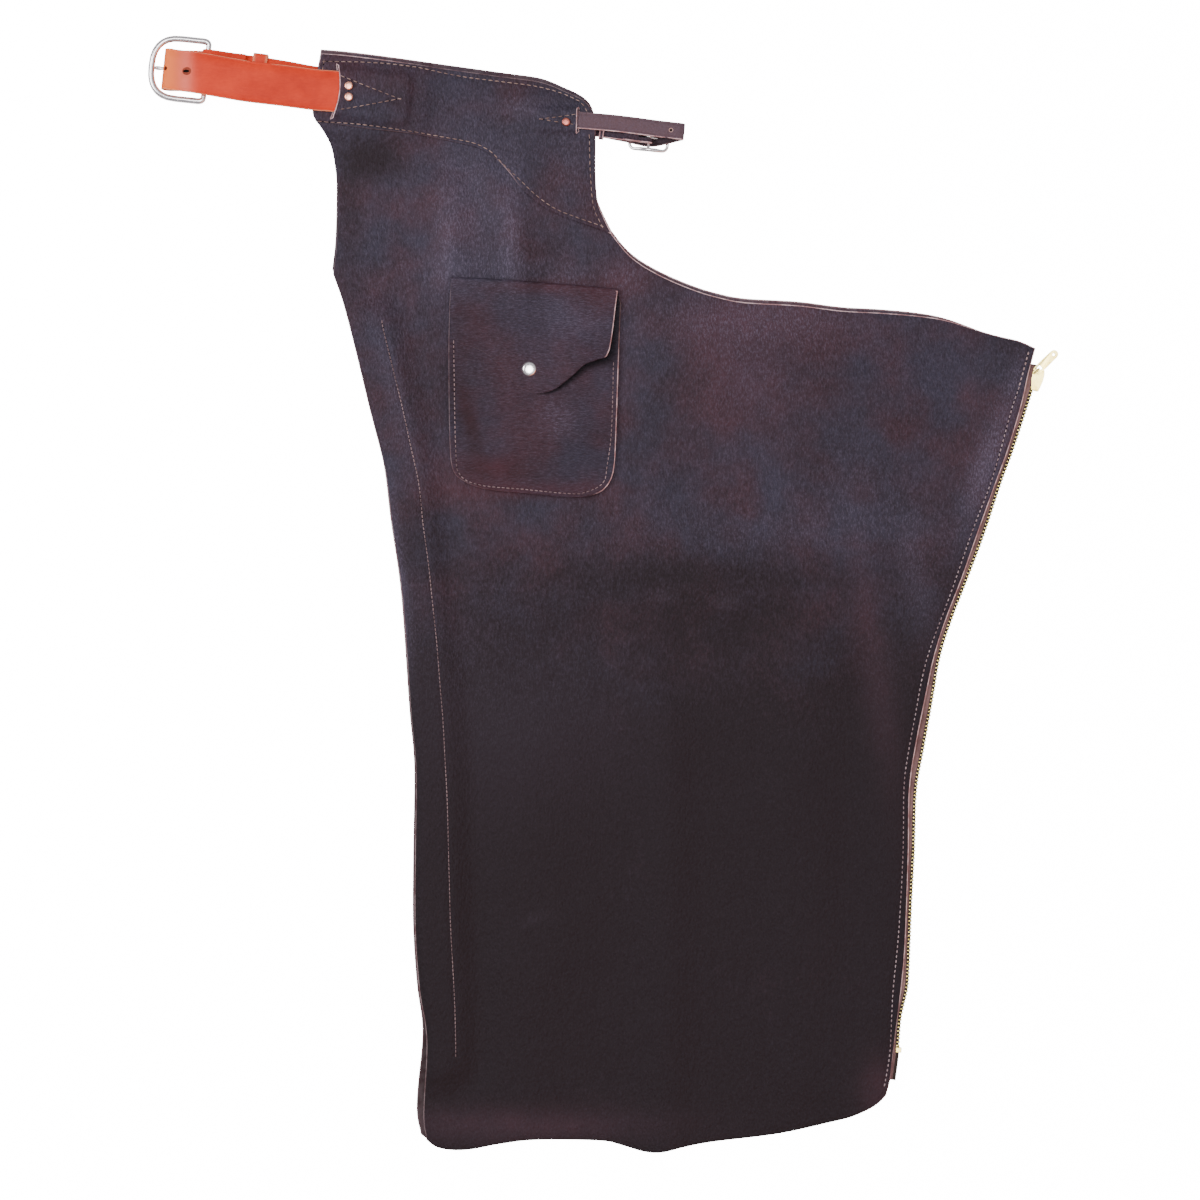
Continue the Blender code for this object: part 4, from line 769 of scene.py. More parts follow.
def thread_finish(name, dark, pale):
    """Waxed thread with its twist."""
    thread = Finish(name, {"Specular IOR Level": 0.4})
    tone = thread.noise(45.0, 2.0).above(0.3, 0.7)
    twist = thread.noise(2600.0, 1.0)
    thread.set("Base Color", thread.mix(tone, dark, pale))
    thread.set("Roughness", 0.55 + twist * 0.2)
    thread.bump((twist, 0.0001))
    return thread.material


def raw_finish(name, specular, scale, detail, roughness, dark, pale):
    """The plain wall of a hole."""
    raw = Finish(name, {"Specular IOR Level": specular})
    tone = raw.noise(scale, detail)
    raw.set("Base Color", raw.mix(tone, dark, pale))
    raw.set("Roughness", roughness + tone * 0.1)
    return raw.material


PANEL_LEATHER = oiled_leather("oiled_leather", 400.0, 190.0, 0.04)
POCKET_LEATHER = oiled_leather("pocket_leather", 150.0, 620.0, 0.08)
STRAP_LEATHER = oiled_leather("strap_leather", 300.0, 300.0, 0.2, 0.5)
TAN = belt_leather()
BELT_FLESH = raw_finish("belt_flesh", 0.2, 500.0, 2.0, 0.75, (0.16, 0.025, 0.016), (0.42, 0.09, 0.045))
PALE_FLESH = raw_finish("pale_flesh", 0.2, 500.0, 2.0, 0.75, (0.36, 0.20, 0.18), (0.52, 0.32, 0.29))
NICKEL = metal("nickel", 0.9, (0.92, 0.86, 0.85), (0.70, 0.65, 0.64), 0.08, 0.07)
PALE_COPPER = metal("pale_copper", 0.85, (0.98, 0.46, 0.33), (0.85, 0.38, 0.26), 0.16, 0.10)
RED_COPPER = metal("red_copper", 0.85, (0.44, 0.13, 0.10), (0.32, 0.09, 0.07), 0.24, 0.12)
BRASS = metal("brass", 0.8, (1.0, 0.81, 0.26), (0.80, 0.55, 0.11), 0.12, 0.10)
TAPE_CLOTH = zip_cloth()
PALE_THREAD = thread_finish("pale_thread", (0.17, 0.10, 0.085), (0.38, 0.25, 0.21))
WHITE_THREAD = thread_finish("white_thread", (0.34, 0.22, 0.21), (0.66, 0.50, 0.48))
PINK_THREAD = thread_finish("pink_thread", (0.14, 0.085, 0.087), (0.35, 0.235, 0.235))
DUSTY_THREAD = thread_finish("dusty_thread", (0.24, 0.155, 0.16), (0.50, 0.38, 0.39))
# Near black: painted shade in needle holes, in the holes cut through the small strap, in the belt's spare
# hole and in the small buckle's slot.
HOLE_SHADE = raw_finish("needle_hole", 0.1, 300.0, 1.0, 0.85, (0.004, 0.003, 0.003), (0.012, 0.007, 0.007))


# ---------------------------------------------------------------- meshes

def shown(name, data):
    """A new object in the scene."""
    obj = bpy.data.objects.new(name, data)
    bpy.context.scene.collection.objects.link(obj)
    return obj


def smoothed(mesh, sharp):
    """Smooth faces, with a hard edge where they meet at more than an angle in degrees."""
    mesh.shade_smooth()
    mesh.set_sharp_from_angle(angle=math.radians(sharp))


def mark(mesh, marks):
    """Values for each point, kept as attributes of the mesh."""
    for name, values in marks.items():
        layer = mesh.attributes.get(name) or mesh.attributes.new(name, "FLOAT", "POINT")
        layer.data.foreach_set("value", np.array(values, np.float32))


def body(name, points, faces, finish, marks=None, sharp=60):
    """An object from points in millimetres, with its marks."""
    mesh = bpy.data.meshes.new(name)
    mesh.from_pydata((np.array(points, float) * MM).tolist(), [], faces)
    mark(mesh, marks or {})
    smoothed(mesh, sharp)
    mesh.materials.append(finish)
    return shown(name, mesh)


def reshaped(mesh, *steps):
    """The mesh after bmesh steps, each a function of the bmesh."""
    made = bmesh.new()
    made.from_mesh(mesh)
    for step in steps:
        step(made)
    made.to_mesh(mesh)
    made.free()


def merge(made, distance=1e-6):
    bmesh.ops.remove_doubles(made, verts=made.verts, dist=distance)


def flattened(made, degrees):
    """Faces joined where they meet at less than an angle."""
    limit = math.radians(degrees)
    bmesh.ops.dissolve_limit(made, angle_limit=limit, verts=made.verts, edges=made.edges)


def face_outwards(made):
    bmesh.ops.recalc_face_normals(made, faces=made.faces)


def recalculated(obj):
    """Doubles merged and every face turned outwards."""
    reshaped(obj.data, merge, face_outwards)
    return obj


def nearest_of(points):
    """A tree that finds the nearest of the points."""
    known = KDTree(len(points))
    for i, point in enumerate(points):
        known.insert((*point, 0)[:3], i)
    known.balance()
    return known


def finished(obj, node=None, on="chaps"):
    """The piece rides on its body and stands for its node, whose own shape is hidden."""
    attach(obj, on)
    if node:
        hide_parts(node)
    return obj


def flat_mesh(loop, lattice, lines=(), holes=()):
    """Triangles of a flat piece, with finer rings inside its cut edges."""
    chains = [closed(inset(loop, distance)) for distance in EDGE_RINGS]
    chains += [closed(inset(hole, -distance)) for hole in holes for distance in (0.0,) + EDGE_RINGS]
    points, edges = [], []
    for chain in [closed(loop), *chains, *lines]:
        first = len(points)
        points += [tuple(p) for p in chain]
        edges += [(first + i, first + i + 1) for i in range(len(chain) - 1)]
    known = nearest_of(points)
    low, high = loop.min(axis=0), loop.max(axis=0)
    row = lattice * math.sqrt(3) / 2
    grid = np.array([(low[0] + (i + 0.5 * (j % 2)) * lattice, low[1] + j * row)
                     for j in range(int((high[1] - low[1]) / row) + 1)
                     for i in range(int((high[0] - low[0]) / lattice) + 1)])
    grid = grid[inside(grid, loop)]
    points += [(x, y) for x, y in grid if known.find((x, y, 0))[2] > lattice * 0.55]
    made = delaunay_2d_cdt([Vector(p) for p in points], edges, [], 0, 0.01)
    flat = np.array([tuple(p) for p in made[0]])
    faces = np.array([f for f in made[2] if len(f) == 3])
    centres = flat[faces].mean(axis=1)
    chosen = inside(centres, loop)
    for hole in holes:
        chosen &= ~inside(centres, hole)
    used, places = np.unique(faces[chosen], return_inverse=True)
    return flat[used], places.reshape(-1, 3)


def border(faces):
    """The directed edges that only one face uses."""
    used = {(a, b) for f in faces for a, b in zip(f, f[1:] + f[:1])}
    return [edge for edge in used if edge[::-1] not in used]


def shell(name, inner, outer, faces, finish, marks):
    """A closed wall between two skins; faces turn with the outer skin."""
    faces = [tuple(int(i) for i in f) for f in faces]
    count = len(inner)
    walls = [(b + count, a + count, a, b) for a, b in border(faces)]
    skins = [f[::-1] for f in faces] + [tuple(i + count for i in f) for f in faces]
    doubled = {name: np.concatenate([values, values]) for name, values in marks.items()}
    return body(name, np.vstack([inner, outer]), skins + walls, finish, doubled)


def grooves(points, rows):
    """How deep rows of sewing pull the leather down."""
    depth = np.zeros(len(points))
    for row in rows:
        away = distance_to(points, spaced(row, GROOVE_STEP))
        depth = np.maximum(depth, GROOVE_DEPTH * np.exp(-(away / GROOVE_HALF) ** 2))
    return depth


def groove_lines(rows):
    """The lines along which a row's groove is shaped."""
    return [offset(spaced(row, GROOVE_STEP), side) for row in rows for side in GROOVE_LINES]


# The dark column is mostly painted shade, in hollows and along folds.
# The pale column is wear with painted highlights on folds and edges.
# Patches of tone:  x     y   half width, height, lean   pale   red   dark
PATCHES = [
    (-88, 350, 10, 62, 0, 0.6, 0.0, 0.0),
    (-148, 345, 12, 52, 0, 0.45, 0.0, 0.0),
    (-122, 370, 22, 60, 0, 0.35, -0.4, 0.0),
    (-74, 462, 26, 10, 0, 0.3, 0.0, 0.0),
    (-30, 415, 18, 50, 0, 0.2, -0.3, 0.0),
    (-218, 415, 30, 22, 0, 0.0, 0.0, 0.8),
    (-240, 380, 12, 40, 0, 0.0, 0.0, 0.4),
    (-200, 462, 26, 30, 0, 0.0, 0.0, 0.3),
    (-204, 60, 10, 60, 8, 0.7, 0.0, 0.0),
    (-193, -25, 9, 50, 4, 0.75, 0.0, 0.0),
    (-200, 200, 9, 70, 14, 0.3, 0.0, 0.0),
    (190, 62, 120, 22, 0, 0.15, -0.3, 0.0),
    (90, 20, 200, 14, 0, 0.0, 0.0, 0.3),
    (55, -2, 12, 5, 0, 0.16, 0.0, 0.0),
    (116, -7, 14, 6, 0, 0.16, 0.0, 0.0),
    (150, 262, 90, 26, 0, 0.45, 0.35, 0.0),
    (20, 302, 24, 22, 0, 0.3, 0.4, 0.0),
    (135, 205, 50, 50, 0, 0.15, 0.4, 0.0),
    (62, 165, 28, 60, 0, 0.0, -0.4, 0.2),
    (245, 105, 40, 40, 0, 0.1, -0.3, 0.0),
    (-164, 431, 12, 7, 0, 0.0, 0.4, 0.0),
    (-65, -308, 14, 6, 20, 0.1, 0.0, 0.0),
    (-148, -80, 60, 110, 0, 0.10, -0.5, 0.0),
    (-160, 55, 70, 45, 0, 0.0, 0.0, 0.35),
    (110, -20, 140, 36, 0, 0.0, 0.0, 0.35),
    (258, -60, 16, 120, 8, 0.12, 0.2, 0.0),
    (-60, 425, 40, 25, 0, 0.0, -0.6, 0.0),
    (-150, 425, 110, 55, 0, 0.06, -0.5, 0.0),
    (-130, 302, 60, 22, 0, 0.25, -0.3, 0.0),
    (-35, 302, 22, 20, 0, 0.25, 0.0, 0.0),
    (-60, 235, 60, 40, 0, 0.12, 0.1, 0.0),
    (-50, -125, 95, 75, 0, 0.14, -0.4, 0.0),
    (300, 10, 16, 70, 12, 0.25, 0.0, 0.0),
    (262, -470, 18, 30, 0, 0.15, 0.3, 0.0),
    (-80, -505, 120, 16, 0, 0.25, 0.3, 0.0),
    (-41, 166, 20, 18, 0, 0.4, 0.0, 0.0),
    (-60, 293, 90, 8, 0, 0.0, 0.5, 0.2),
    (-28, 262, 40, 16, -20, 0.35, 0.0, 0.0),
    (-128, 170, 9, 36, 15, 0.0, 0.3, 0.6),
    (-104, 120, 24, 12, 0, 0.0, 0.6, 0.5),
    (-122, 262, 16, 26, 0, 0.0, 0.2, 0.2),
    (-79, 99, 80, 8, 0, 0.0, 0.5, 0.0),
    (366, 128, 13, 62, -20, 0.85, 0.0, 0.0),
    (392, 205, 8, 22, -15, 0.4, 0.0, 0.0)]
DEEP_FROM = 90  # below this height the hide is darker and browner
DEEP_OVER = 260
WAIST_ZONE = (345, 40)  # cut edges are less pale above this height
FOOT_ZONE = (370, 30)  # and below this depth

# Stretches where a cut edge shows pale although it doesn't face the zip's side:
#    x     y    half width, height, how pale
PALE_STRETCHES = [
    (-225, 512, 50, 12, 1.0),
    (-98, 400, 16, 10, 0.5),
    (-176, -330, 14, 220, 0.42),
    (-205, 90, 60, 260, 0.45),
    (150, 276, 150, 14, 1.0),
    (370, 248, 55, 16, 0.2)]


def tones(points):
    """Where the hide is worn pale with painted highlights, glows red or is deep with painted shade, from the
    listed patches.
    """
    strength = np.zeros((3, len(points)))
    for x, y, wide, high, lean, *tints in PATCHES:
        strength += np.outer(tints, patch(points, x, y, wide, high, lean))
    rubbed, warm, deep = strength
    return {"rubbed": rubbed, "warm": warm, "deep": deep + ease((DEEP_FROM - points[:, 1]) / DEEP_OVER)}


def pale_edge(loop):
    """How pale the cut edge is along an outline: most where it faces the zip's side."""
    outward = unit(loop - inset(loop, 1.0))
    below_waist = 1 - 0.8 * beyond(loop[:, 1], WAIST_ZONE)
    above_foot = 1 - 0.6 * beyond(-loop[:, 1], FOOT_ZONE)
    tint = ease((0.95 * outward[:, 0] + 0.25 * outward[:, 1]) / 0.42) * below_waist * above_foot
    for *stretch, pale in PALE_STRETCHES:
        tint = np.maximum(tint, pale * patch(loop, *stretch))
    return tint


def edge_marks(points, loops, tints):
    """1 on a cut edge, fading within the last ring, and how pale the nearest edge is."""
    known = nearest_of(np.vstack(loops))
    nearest = [known.find((x, y, 0))[1] for x, y in points]
    from_edge = np.min([distance_to(points, closed(loop)) for loop in loops], axis=0)
    return np.clip(1 - from_edge / EDGE_RINGS[-1], 0, 1), np.concatenate(tints)[nearest]


# The pouch gets a painted shadow beside the flap's edge that stands off.
SHADOW_LINES = (0.8, 2.2, 4.0, 6.5)  # lines of points beside the flap's edge, for its shadow
FLAP_SHADOW_WIDTHS = ([-68, -50, -25, 5, 10], [0.3, 3.6, 7.0, 12.0, 18.0])  # at x, how wide


def flap_shadow(points):
    """Painted shadow on the pouch along the flap's edge that stands off, widest at the corner."""
    width = np.interp(points[:, 0], *FLAP_SHADOW_WIDTHS)
    return 1 - ease(distance_to(points, FLAP_RIGHT) / width)


def leather_sheet(name, node, loop, lattice, underside, thickness, finish, rows=(), lines=(), holes=(),
                  shadow=None, flesh=0.0):
    """A flat piece of leather over a height, its cut edges rounded and its sewing sunk in."""
    points, faces = flat_mesh(loop, lattice, groove_lines(rows) + list(lines), holes)
    tints = [pale_edge(loop)] + [np.ones(len(hole)) for hole in holes]
    at_edge, pale = edge_marks(points, [loop] + list(holes), tints)
    marks = {"edge": at_edge, "pale": pale, **tones(points)}
    if flesh:
        marks["edge"] = np.ones(len(points))
        marks["pale"] = np.where(at_edge > 0.5, np.maximum(pale, flesh), flesh)
    if shadow:
        marks["shadow"] = shadow(points)
    rounding = at_edge ** 2
    low = underside(points)
    high = low + thickness - EDGE_DROP * rounding - grooves(points, rows)
    inner = np.column_stack([points, low + EDGE_RISE * rounding])
    return finished(shell(name, inner, np.column_stack([points, high]), faces, finish, marks), node)


# ---------------------------------------------------------------- the legs

# Spacing of the points inside each flat piece, finer where it shows
PANEL_LATTICE = 5.0
YOKE_LATTICE = 3.2
POCKET_LATTICE = 3.2
FLAP_LATTICE = 3.4
LOWER_PANEL_LATTICE = 9.0
LOWER_YOKE_LATTICE = 6.0

# Near the zip the lower leg's crotch edge lies nearly under the upper one's
CROTCH_CORNER = (400, 250, 75, 60)
CROTCH_DRAWN_IN = 4.2
# At the left end of the hem it shows beside the upper one
HEM_CORNER = (-178, -478, 24, 66)
HEM_STANDS_OUT = 4.5
FLESH_SHOWS = 0.055  # it lies face down, so its brown flesh side is up


def make_lower_leg():
    panel, yoke = lowered(PANEL_LOOP), lowered(YOKE_LOOP)
    panel[:, 1] -= CROTCH_DRAWN_IN * patch(panel, *CROTCH_CORNER)
    panel[:, 0] -= HEM_STANDS_OUT * patch(panel, *HEM_CORNER)
    return (leather_sheet("lower_panel", "leg_panel_lower", panel, LOWER_PANEL_LATTICE, lower_underside,
                          PANEL, PANEL_LEATHER, flesh=FLESH_SHOWS),
            leather_sheet("lower_yoke", "yoke_lower", yoke, LOWER_YOKE_LATTICE, on_floor, YOKE,
                          PANEL_LEATHER))


def make_upper_leg():
    tucks = tuck_lines(BELT_TUCK) + tuck_lines(STRAP_TUCK)
    below_flap = [offset(FLAP_RIGHT, side)[1:] for side in SHADOW_LINES]
    return (leather_sheet("upper_panel", "leg_panel_upper", PANEL_LOOP, PANEL_LATTICE, upper_underside, PANEL,
                          PANEL_LEATHER, [SIDE_ROW, ZIP_ROW_TOP + ZIP_ROW]),
            leather_sheet("upper_yoke", "yoke_upper", YOKE_LOOP, YOKE_LATTICE, yoke_underside, YOKE,
                          PANEL_LEATHER, ALL_YOKE_ROWS, tucks, SLITS),
            leather_sheet("pocket_pouch", "pocket_front", POUCH_LOOP, POCKET_LATTICE,
                          partial(pocket_underside, layers=1), POCKET, POCKET_LEATHER, [POCKET_ROW],
                          below_flap, shadow=flap_shadow))


FLAP_ARCS = 10
FLAP_FOLD_DEPTH = 0.9  # how far the fold stands out, to its half height
FLAP_PALE_FROM = 3  # the flap's cut edge is pale to the right of this
FLAP_PARED_PALE = 0.02


def make_flap():
    """The pocket's back, which folds over at the top and comes down as the flap."""
    skins = []
    for loop, free_edge, layers in ((POUCH_LOOP, POUCH_LINE, 0), (FLAP_LOOP, FLAP_LINE, 2)):
        points, faces = flat_mesh(loop, FLAP_LATTICE)
        low = pocket_underside(points, layers)
        at_edge, pale = edge_marks(points, [loop], [pale_edge(loop) * (loop[:, 0] > FLAP_PALE_FROM)])
        free = np.clip(1 - distance_to(points, free_edge) / EDGE_RINGS[-1], 0, 1)
        at_edge = np.minimum(at_edge, free)
        pared = (layers > 0) * np.clip(1 - distance_to(points, FLAP_LEFT) / FLAP_SKIVE_OVER, 0, 1)
        rounding = at_edge ** 2 * (1 - pared)
        high = low + POCKET - EDGE_DROP * rounding - FLAP_SKIVE * pared ** 1.5
        low = low + EDGE_RISE * rounding
        skins.append((points, faces, low, high, at_edge, np.maximum(pale, FLAP_PARED_PALE * pared)))
    fold = np.array(FLAP_FOLD, float)
    way = unit(fold[1] - fold[0])
    out = to_left(way)
    rows = []
    for points, *_ in skins:
        on_fold = np.where(np.abs((points - fold[0]) @ out) < 0.02)[0]
        rows.append(on_fold[np.argsort((points[on_fold] - fold[0]) @ way)])
    back, back_faces, back_low, back_high, *back_marks = skins[0]
    flap, flap_faces, flap_low, flap_high, *flap_marks = skins[1]
    outer = [np.column_stack([back, back_low]), np.column_stack([flap, flap_high])]
    inner = [np.column_stack([back, back_high]), np.column_stack([flap, flap_low])]
    columns = [np.column_stack(back_marks), np.column_stack(flap_marks)]
    faces = [tuple(f[::-1]) for f in back_faces.tolist()]
    faces += [tuple(i + len(back) for i in f) for f in flap_faces.tolist()]
    ladder = [list(rows[0])]
    count = len(back) + len(flap)
    for step in range(1, FLAP_ARCS):
        angle = math.pi * step / FLAP_ARCS
        for skin, low, high in ((outer, back_low[rows[0]], flap_high[rows[1]]),
                                (inner, back_high[rows[0]], flap_low[rows[1]])):
            radius = (high - low) / 2
            flat = back[rows[0]] + np.outer(radius * math.sin(angle) * FLAP_FOLD_DEPTH, out)
            skin.append(np.column_stack([flat, (low + high) / 2 - radius * math.cos(angle)]))
        columns.append(np.zeros((len(rows[0]), 2)))
        ladder.append(list(range(count, count + len(rows[0]))))
        count += len(rows[0])
    ladder.append([i + len(back) for i in rows[1]])
    for lower_row, upper_row in zip(ladder, ladder[1:]):
        faces += zip(lower_row, upper_row, upper_row[1:], lower_row[1:])
    outer, inner = np.vstack(outer), np.vstack(inner)
    edge, pale = np.vstack(columns).T
    marks = {"edge": edge, "pale": pale, **tones(outer[:, :2])}
    obj = recalculated(shell("pocket_flap_and_back", inner, outer, faces, POCKET_LEATHER, marks))
    return finished(obj, "pocket_flap")


def zip_tape(name, node, lines, underside, climb):
    """A woven tape between three lines, the last of them raised by a climb."""
    lows = [underside(np.array(line)) + rise for line, rise in zip(lines, (0.0, 0.0, climb))]
    stations, columns = len(lines[0]), []
    for t in np.linspace(0, 2, 2 * TAPE_PARTS + 1):
        k = min(int(t), 1)
        line = lines[k] * (1 - (t - k)) + lines[k + 1] * (t - k)
        columns.append(np.column_stack([line, lows[k] * (1 - (t - k)) + lows[k + 1] * (t - k)]))
    grid = np.array(columns)
    along, across = lengths_along(grid[TAPE_PARTS]), lengths_along(grid[:, 0])
    faces = [(k, k + 1, k + 1 + stations, k + stations)
             for c in range(len(columns) - 1) for k in range(c * stations, (c + 1) * stations - 1)]
    points = grid.reshape(-1, 3)
    bead = np.zeros(len(columns))
    bead[-2] = BEAD_RISE
    high = points + np.column_stack([np.zeros((len(points), 2)), TAPE + np.repeat(bead, stations)])
    marks = {"along": np.tile(along, len(columns)) * MM, "across": np.repeat(across, stations) * MM}
    return finished(recalculated(shell(name, points, high, faces, TAPE_CLOTH, marks)), node)


def shown_tape(teeth, top=(), foot=()):
    """The three lines of a tape whose teeth show, from under the panel out to its own edge."""
    outer = np.array([*top, *teeth, *foot], float)
    edge = TEETH_WIDTH + GAP
    tape = [offset(outer, -s) for s in (edge + TAPE_SHOWN + TAPE_HIDDEN, edge + TAPE_SHOWN, edge - BEAD)]
    beside_teeth = len(top) + len(teeth)
    tape[2][beside_teeth:] = outer[beside_teeth:]
    return tape


def laid(points):
    """Underside of a tape on the lower panel."""
    return np.full(len(points), PANEL + GAP)


def sewn(points):
    """Underside of the tape at the upper panel's zip edge."""
    return np.full(len(points), ZIP_PLANE - TAPE / 2)


def hung(points):
    """Underside of a tape below the upper panel."""
    return upper_underside(points) - GAP - TAPE


def zip_half(name, lines, underside, climb, teeth, beside):
    """A tape and the row of teeth on its edge, at the height of the line beside them."""
    tape = zip_tape("tape_" + name, "zip_tape_" + name, lines, underside, climb)
    heights = underside(beside) + climb + TAPE / 2
    teeth_row("teeth_" + name, "zip_teeth_" + name, np.column_stack([teeth, heights]))
    return tape


def make_tapes():
    lower_seam = SEAM_LINE + np.array([LOWER_ZIP_SHIFT, 0])
    made = []
    for name, seam, underside, climb in (("lower_side", lower_seam, laid, SIDE_TAPE_CLIMB),
                                         ("upper_side", SEAM_LINE, hung, -SIDE_TAPE_CLIMB)):
        lines = [offset(seam, s) for s in (SEAM_ALLOWANCE, SEAM_ALLOWANCE - SIDE_TAPE, -SIDE_TAPE)]
        teeth = offset(seam, -SIDE_TAPE - GAP - TEETH_WIDTH / 2)
        made.append(zip_half(name, lines, underside, climb, teeth, lines[2]))
    for name, line, top, foot, underside in (
            ("lower_edge", LOWER_TEETH_LINE, (), (), laid),
            ("upper_edge", UPPER_TEETH_LINE, TAPE_TOP, TAPE_FOOT, sewn)):
        teeth = offset(line, -TEETH_WIDTH / 2)
        made.append(zip_half(name, shown_tape(line, top, foot), underside, 0.0, teeth, teeth))
    return made


# ---------------------------------------------------------------- rows of small pieces

def row_tree():
    """Geometry nodes that set one small piece again and again along a line."""
    tree = bpy.data.node_groups.new("pieces_in_a_row", "GeometryNodeTree")
    sockets = {}
    for name, kind in (("Line", "NodeSocketGeometry"), ("Piece", "NodeSocketObject"),
                       ("Spacing", "NodeSocketFloat"), ("Lean", "NodeSocketFloat"),
                       ("Unlike", "NodeSocketFloat"), ("Seed", "NodeSocketInt"),
                       ("Finish", "NodeSocketMaterial")):
        sockets[name] = tree.interface.new_socket(name, in_out="INPUT", socket_type=kind).identifier
    tree.interface.new_socket("Row", in_out="OUTPUT", socket_type="NodeSocketGeometry")

    node = partial(add_node, tree)
    given = node("NodeGroupInput").outputs

    def maths(operation, first, second):
        return node("ShaderNodeMath", {"operation": operation}, {0: first, 1: second}).outputs[0]

    def between(low, high):
        """Three random values for each piece."""
        values = {"Min": low, "Max": high, "Seed": given["Seed"]}
        return node("FunctionNodeRandomValue", {"data_type": "FLOAT_VECTOR"}, values).outputs["Value"]

    stations = node("GeometryNodeCurveToPoints", {"mode": "LENGTH"},
                    {"Curve": given["Line"], "Length": given["Spacing"]}).outputs
    along = node("FunctionNodeAlignRotationToVector", {"axis": "X"}, {"Vector": stations["Tangent"]})
    upright = node("FunctionNodeAlignRotationToVector", {"axis": "Z", "pivot_axis": "X"},
                   {"Rotation": along.outputs[0], "Vector": (0, 0, 1)})
    least = maths("MULTIPLY", given["Lean"], -1.0)
    turn = node("FunctionNodeEulerToRotation", None, {"Euler": between(least, given["Lean"])})
    turned = node("FunctionNodeRotateRotation", {"rotation_space": "LOCAL"},
                  {"Rotation": upright.outputs[0], "Rotate By": turn.outputs[0]})
    size = between(maths("SUBTRACT", 1.0, given["Unlike"]), maths("ADD", 1.0, given["Unlike"]))
    piece = node("GeometryNodeObjectInfo", None, {"Object": given["Piece"]})
    set_out = node("GeometryNodeInstanceOnPoints", None,
                   {"Points": stations["Points"], "Instance": piece.outputs["Geometry"],
                    "Rotation": turned.outputs[0], "Scale": size})
    real = node("GeometryNodeRealizeInstances", None, {"Geometry": set_out.outputs[0]})
    done = node("GeometryNodeSetMaterial", None, {"Geometry": real.outputs[0], "Material": given["Finish"]})
    node("NodeGroupOutput", None, {"Row": done.outputs[0]})
    return tree, sockets


ROW_TREE, ROW_SOCKETS = row_tree()


def curve_object(name, lines, radii=1.0, ring=False):
    """A curve object with one straight-sided spline for each line of points in millimetres."""
    curve = bpy.data.curves.new(name, "CURVE")
    curve.dimensions = "3D"
    for line in lines:
        spline = curve.splines.new("POLY")
        spline.points.add(len(line) - 1)
        places = np.column_stack([np.array(line, float) * MM, np.ones(len(line))])
        spline.points.foreach_set("co", places.ravel())
        spline.points.foreach_set("radius", radii * np.ones(len(line)))
        spline.use_cyclic_u = ring
    return shown(name, curve)


def converted(obj):
    """The object's evaluated shape as a plain mesh in a new object; the old one goes."""
    graph = bpy.context.evaluated_depsgraph_get()
    mesh = bpy.data.meshes.new_from_object(obj.evaluated_get(graph))
    name = obj.name
    bpy.data.objects.remove(obj)
    return shown(name, mesh)


def row_of(name, lines, piece, spacing, finish, lean, unlike, seed):
    """Copies of a piece along lines, as one mesh."""
    rail = curve_object(name, lines)
    step = rail.modifiers.new("row", "NODES")
    step.node_group = ROW_TREE
    for key, value in (("Piece", piece), ("Spacing", spacing * MM), ("Lean", lean), ("Unlike", unlike),
                       ("Seed", seed), ("Finish", finish)):
        step[ROW_SOCKETS[key]] = value
    made = converted(rail)
    made.data.polygons.foreach_set("material_index", np.zeros(len(made.data.polygons), np.int32))
    made.data.materials.clear()
    made.data.materials.append(finish)
    return made


def small_piece(name, made, *finishes):
    """A bmesh in millimetres as a pattern or cutter, which is removed after use."""
    mesh = bpy.data.meshes.new(name)
    for vert in made.verts:
        vert.co *= MM
    made.to_mesh(mesh)
    made.free()
    mesh.shade_smooth()
    for finish in finishes:
        mesh.materials.append(finish)
    return shown(name, mesh)


def stitch_piece(length, width, height):
    """One stitch: a thread that comes up out of its hole, lies along and goes down again."""
    made = bmesh.new()
    bmesh.ops.create_uvsphere(made, u_segments=8, v_segments=7, radius=1)
    for vert in made.verts:
        up, side, along = vert.co
        rise = up * 0.5 + 0.15 + 0.55 * (1 - along * along)
        vert.co = (along * length / 2, side * width / 2, rise * height)
    face_outwards(made)
    return small_piece("stitch", made)


def hole_piece(width):
    """A needle hole, as a flat near-black lens: painted shade in the hole."""
    made = bmesh.new()
    bmesh.ops.create_uvsphere(made, u_segments=7, v_segments=4, radius=1)
    for vert in made.verts:
        vert.co *= Vector((width / 2, width / 2, 0.12))
    return small_piece("needle_hole", made)


def tooth_piece():
    """One zip tooth: two jaws on the tape and a rounded head."""
    made = bmesh.new()
    half_height, half_width = TEETH_HEIGHT / 2, TEETH_WIDTH / 2
    #            across      half length  half height
    sections = [(-half_width, 0.50, half_height * 0.80), (-half_width * 0.8, 0.65, half_height),
                (-half_width * 0.15, 0.68, half_height), (half_width * 0.15, 0.85, half_height * 0.92),
                (half_width * 0.75, 0.85, half_height * 0.80), (half_width, 0.65, half_height * 0.55)]
    rings = []
    for across, reach, high in sections:
        loop = [(-reach, -high * 0.8), (-reach * 0.7, -high), (reach * 0.7, -high), (reach, -high * 0.8),
                (reach, high * 0.8), (reach * 0.7, high), (-reach * 0.7, high), (-reach, high * 0.8)]
        rings.append([made.verts.new((u, across, z)) for u, z in loop])
    for first, second in zip(rings, rings[1:]):
        for k in range(8):
            n = (k + 1) % 8
            made.faces.new((first[k], first[n], second[n], second[k]))
    made.faces.new(rings[0][::-1])
    made.faces.new(rings[-1])
    face_outwards(made)
    return small_piece("tooth", made)


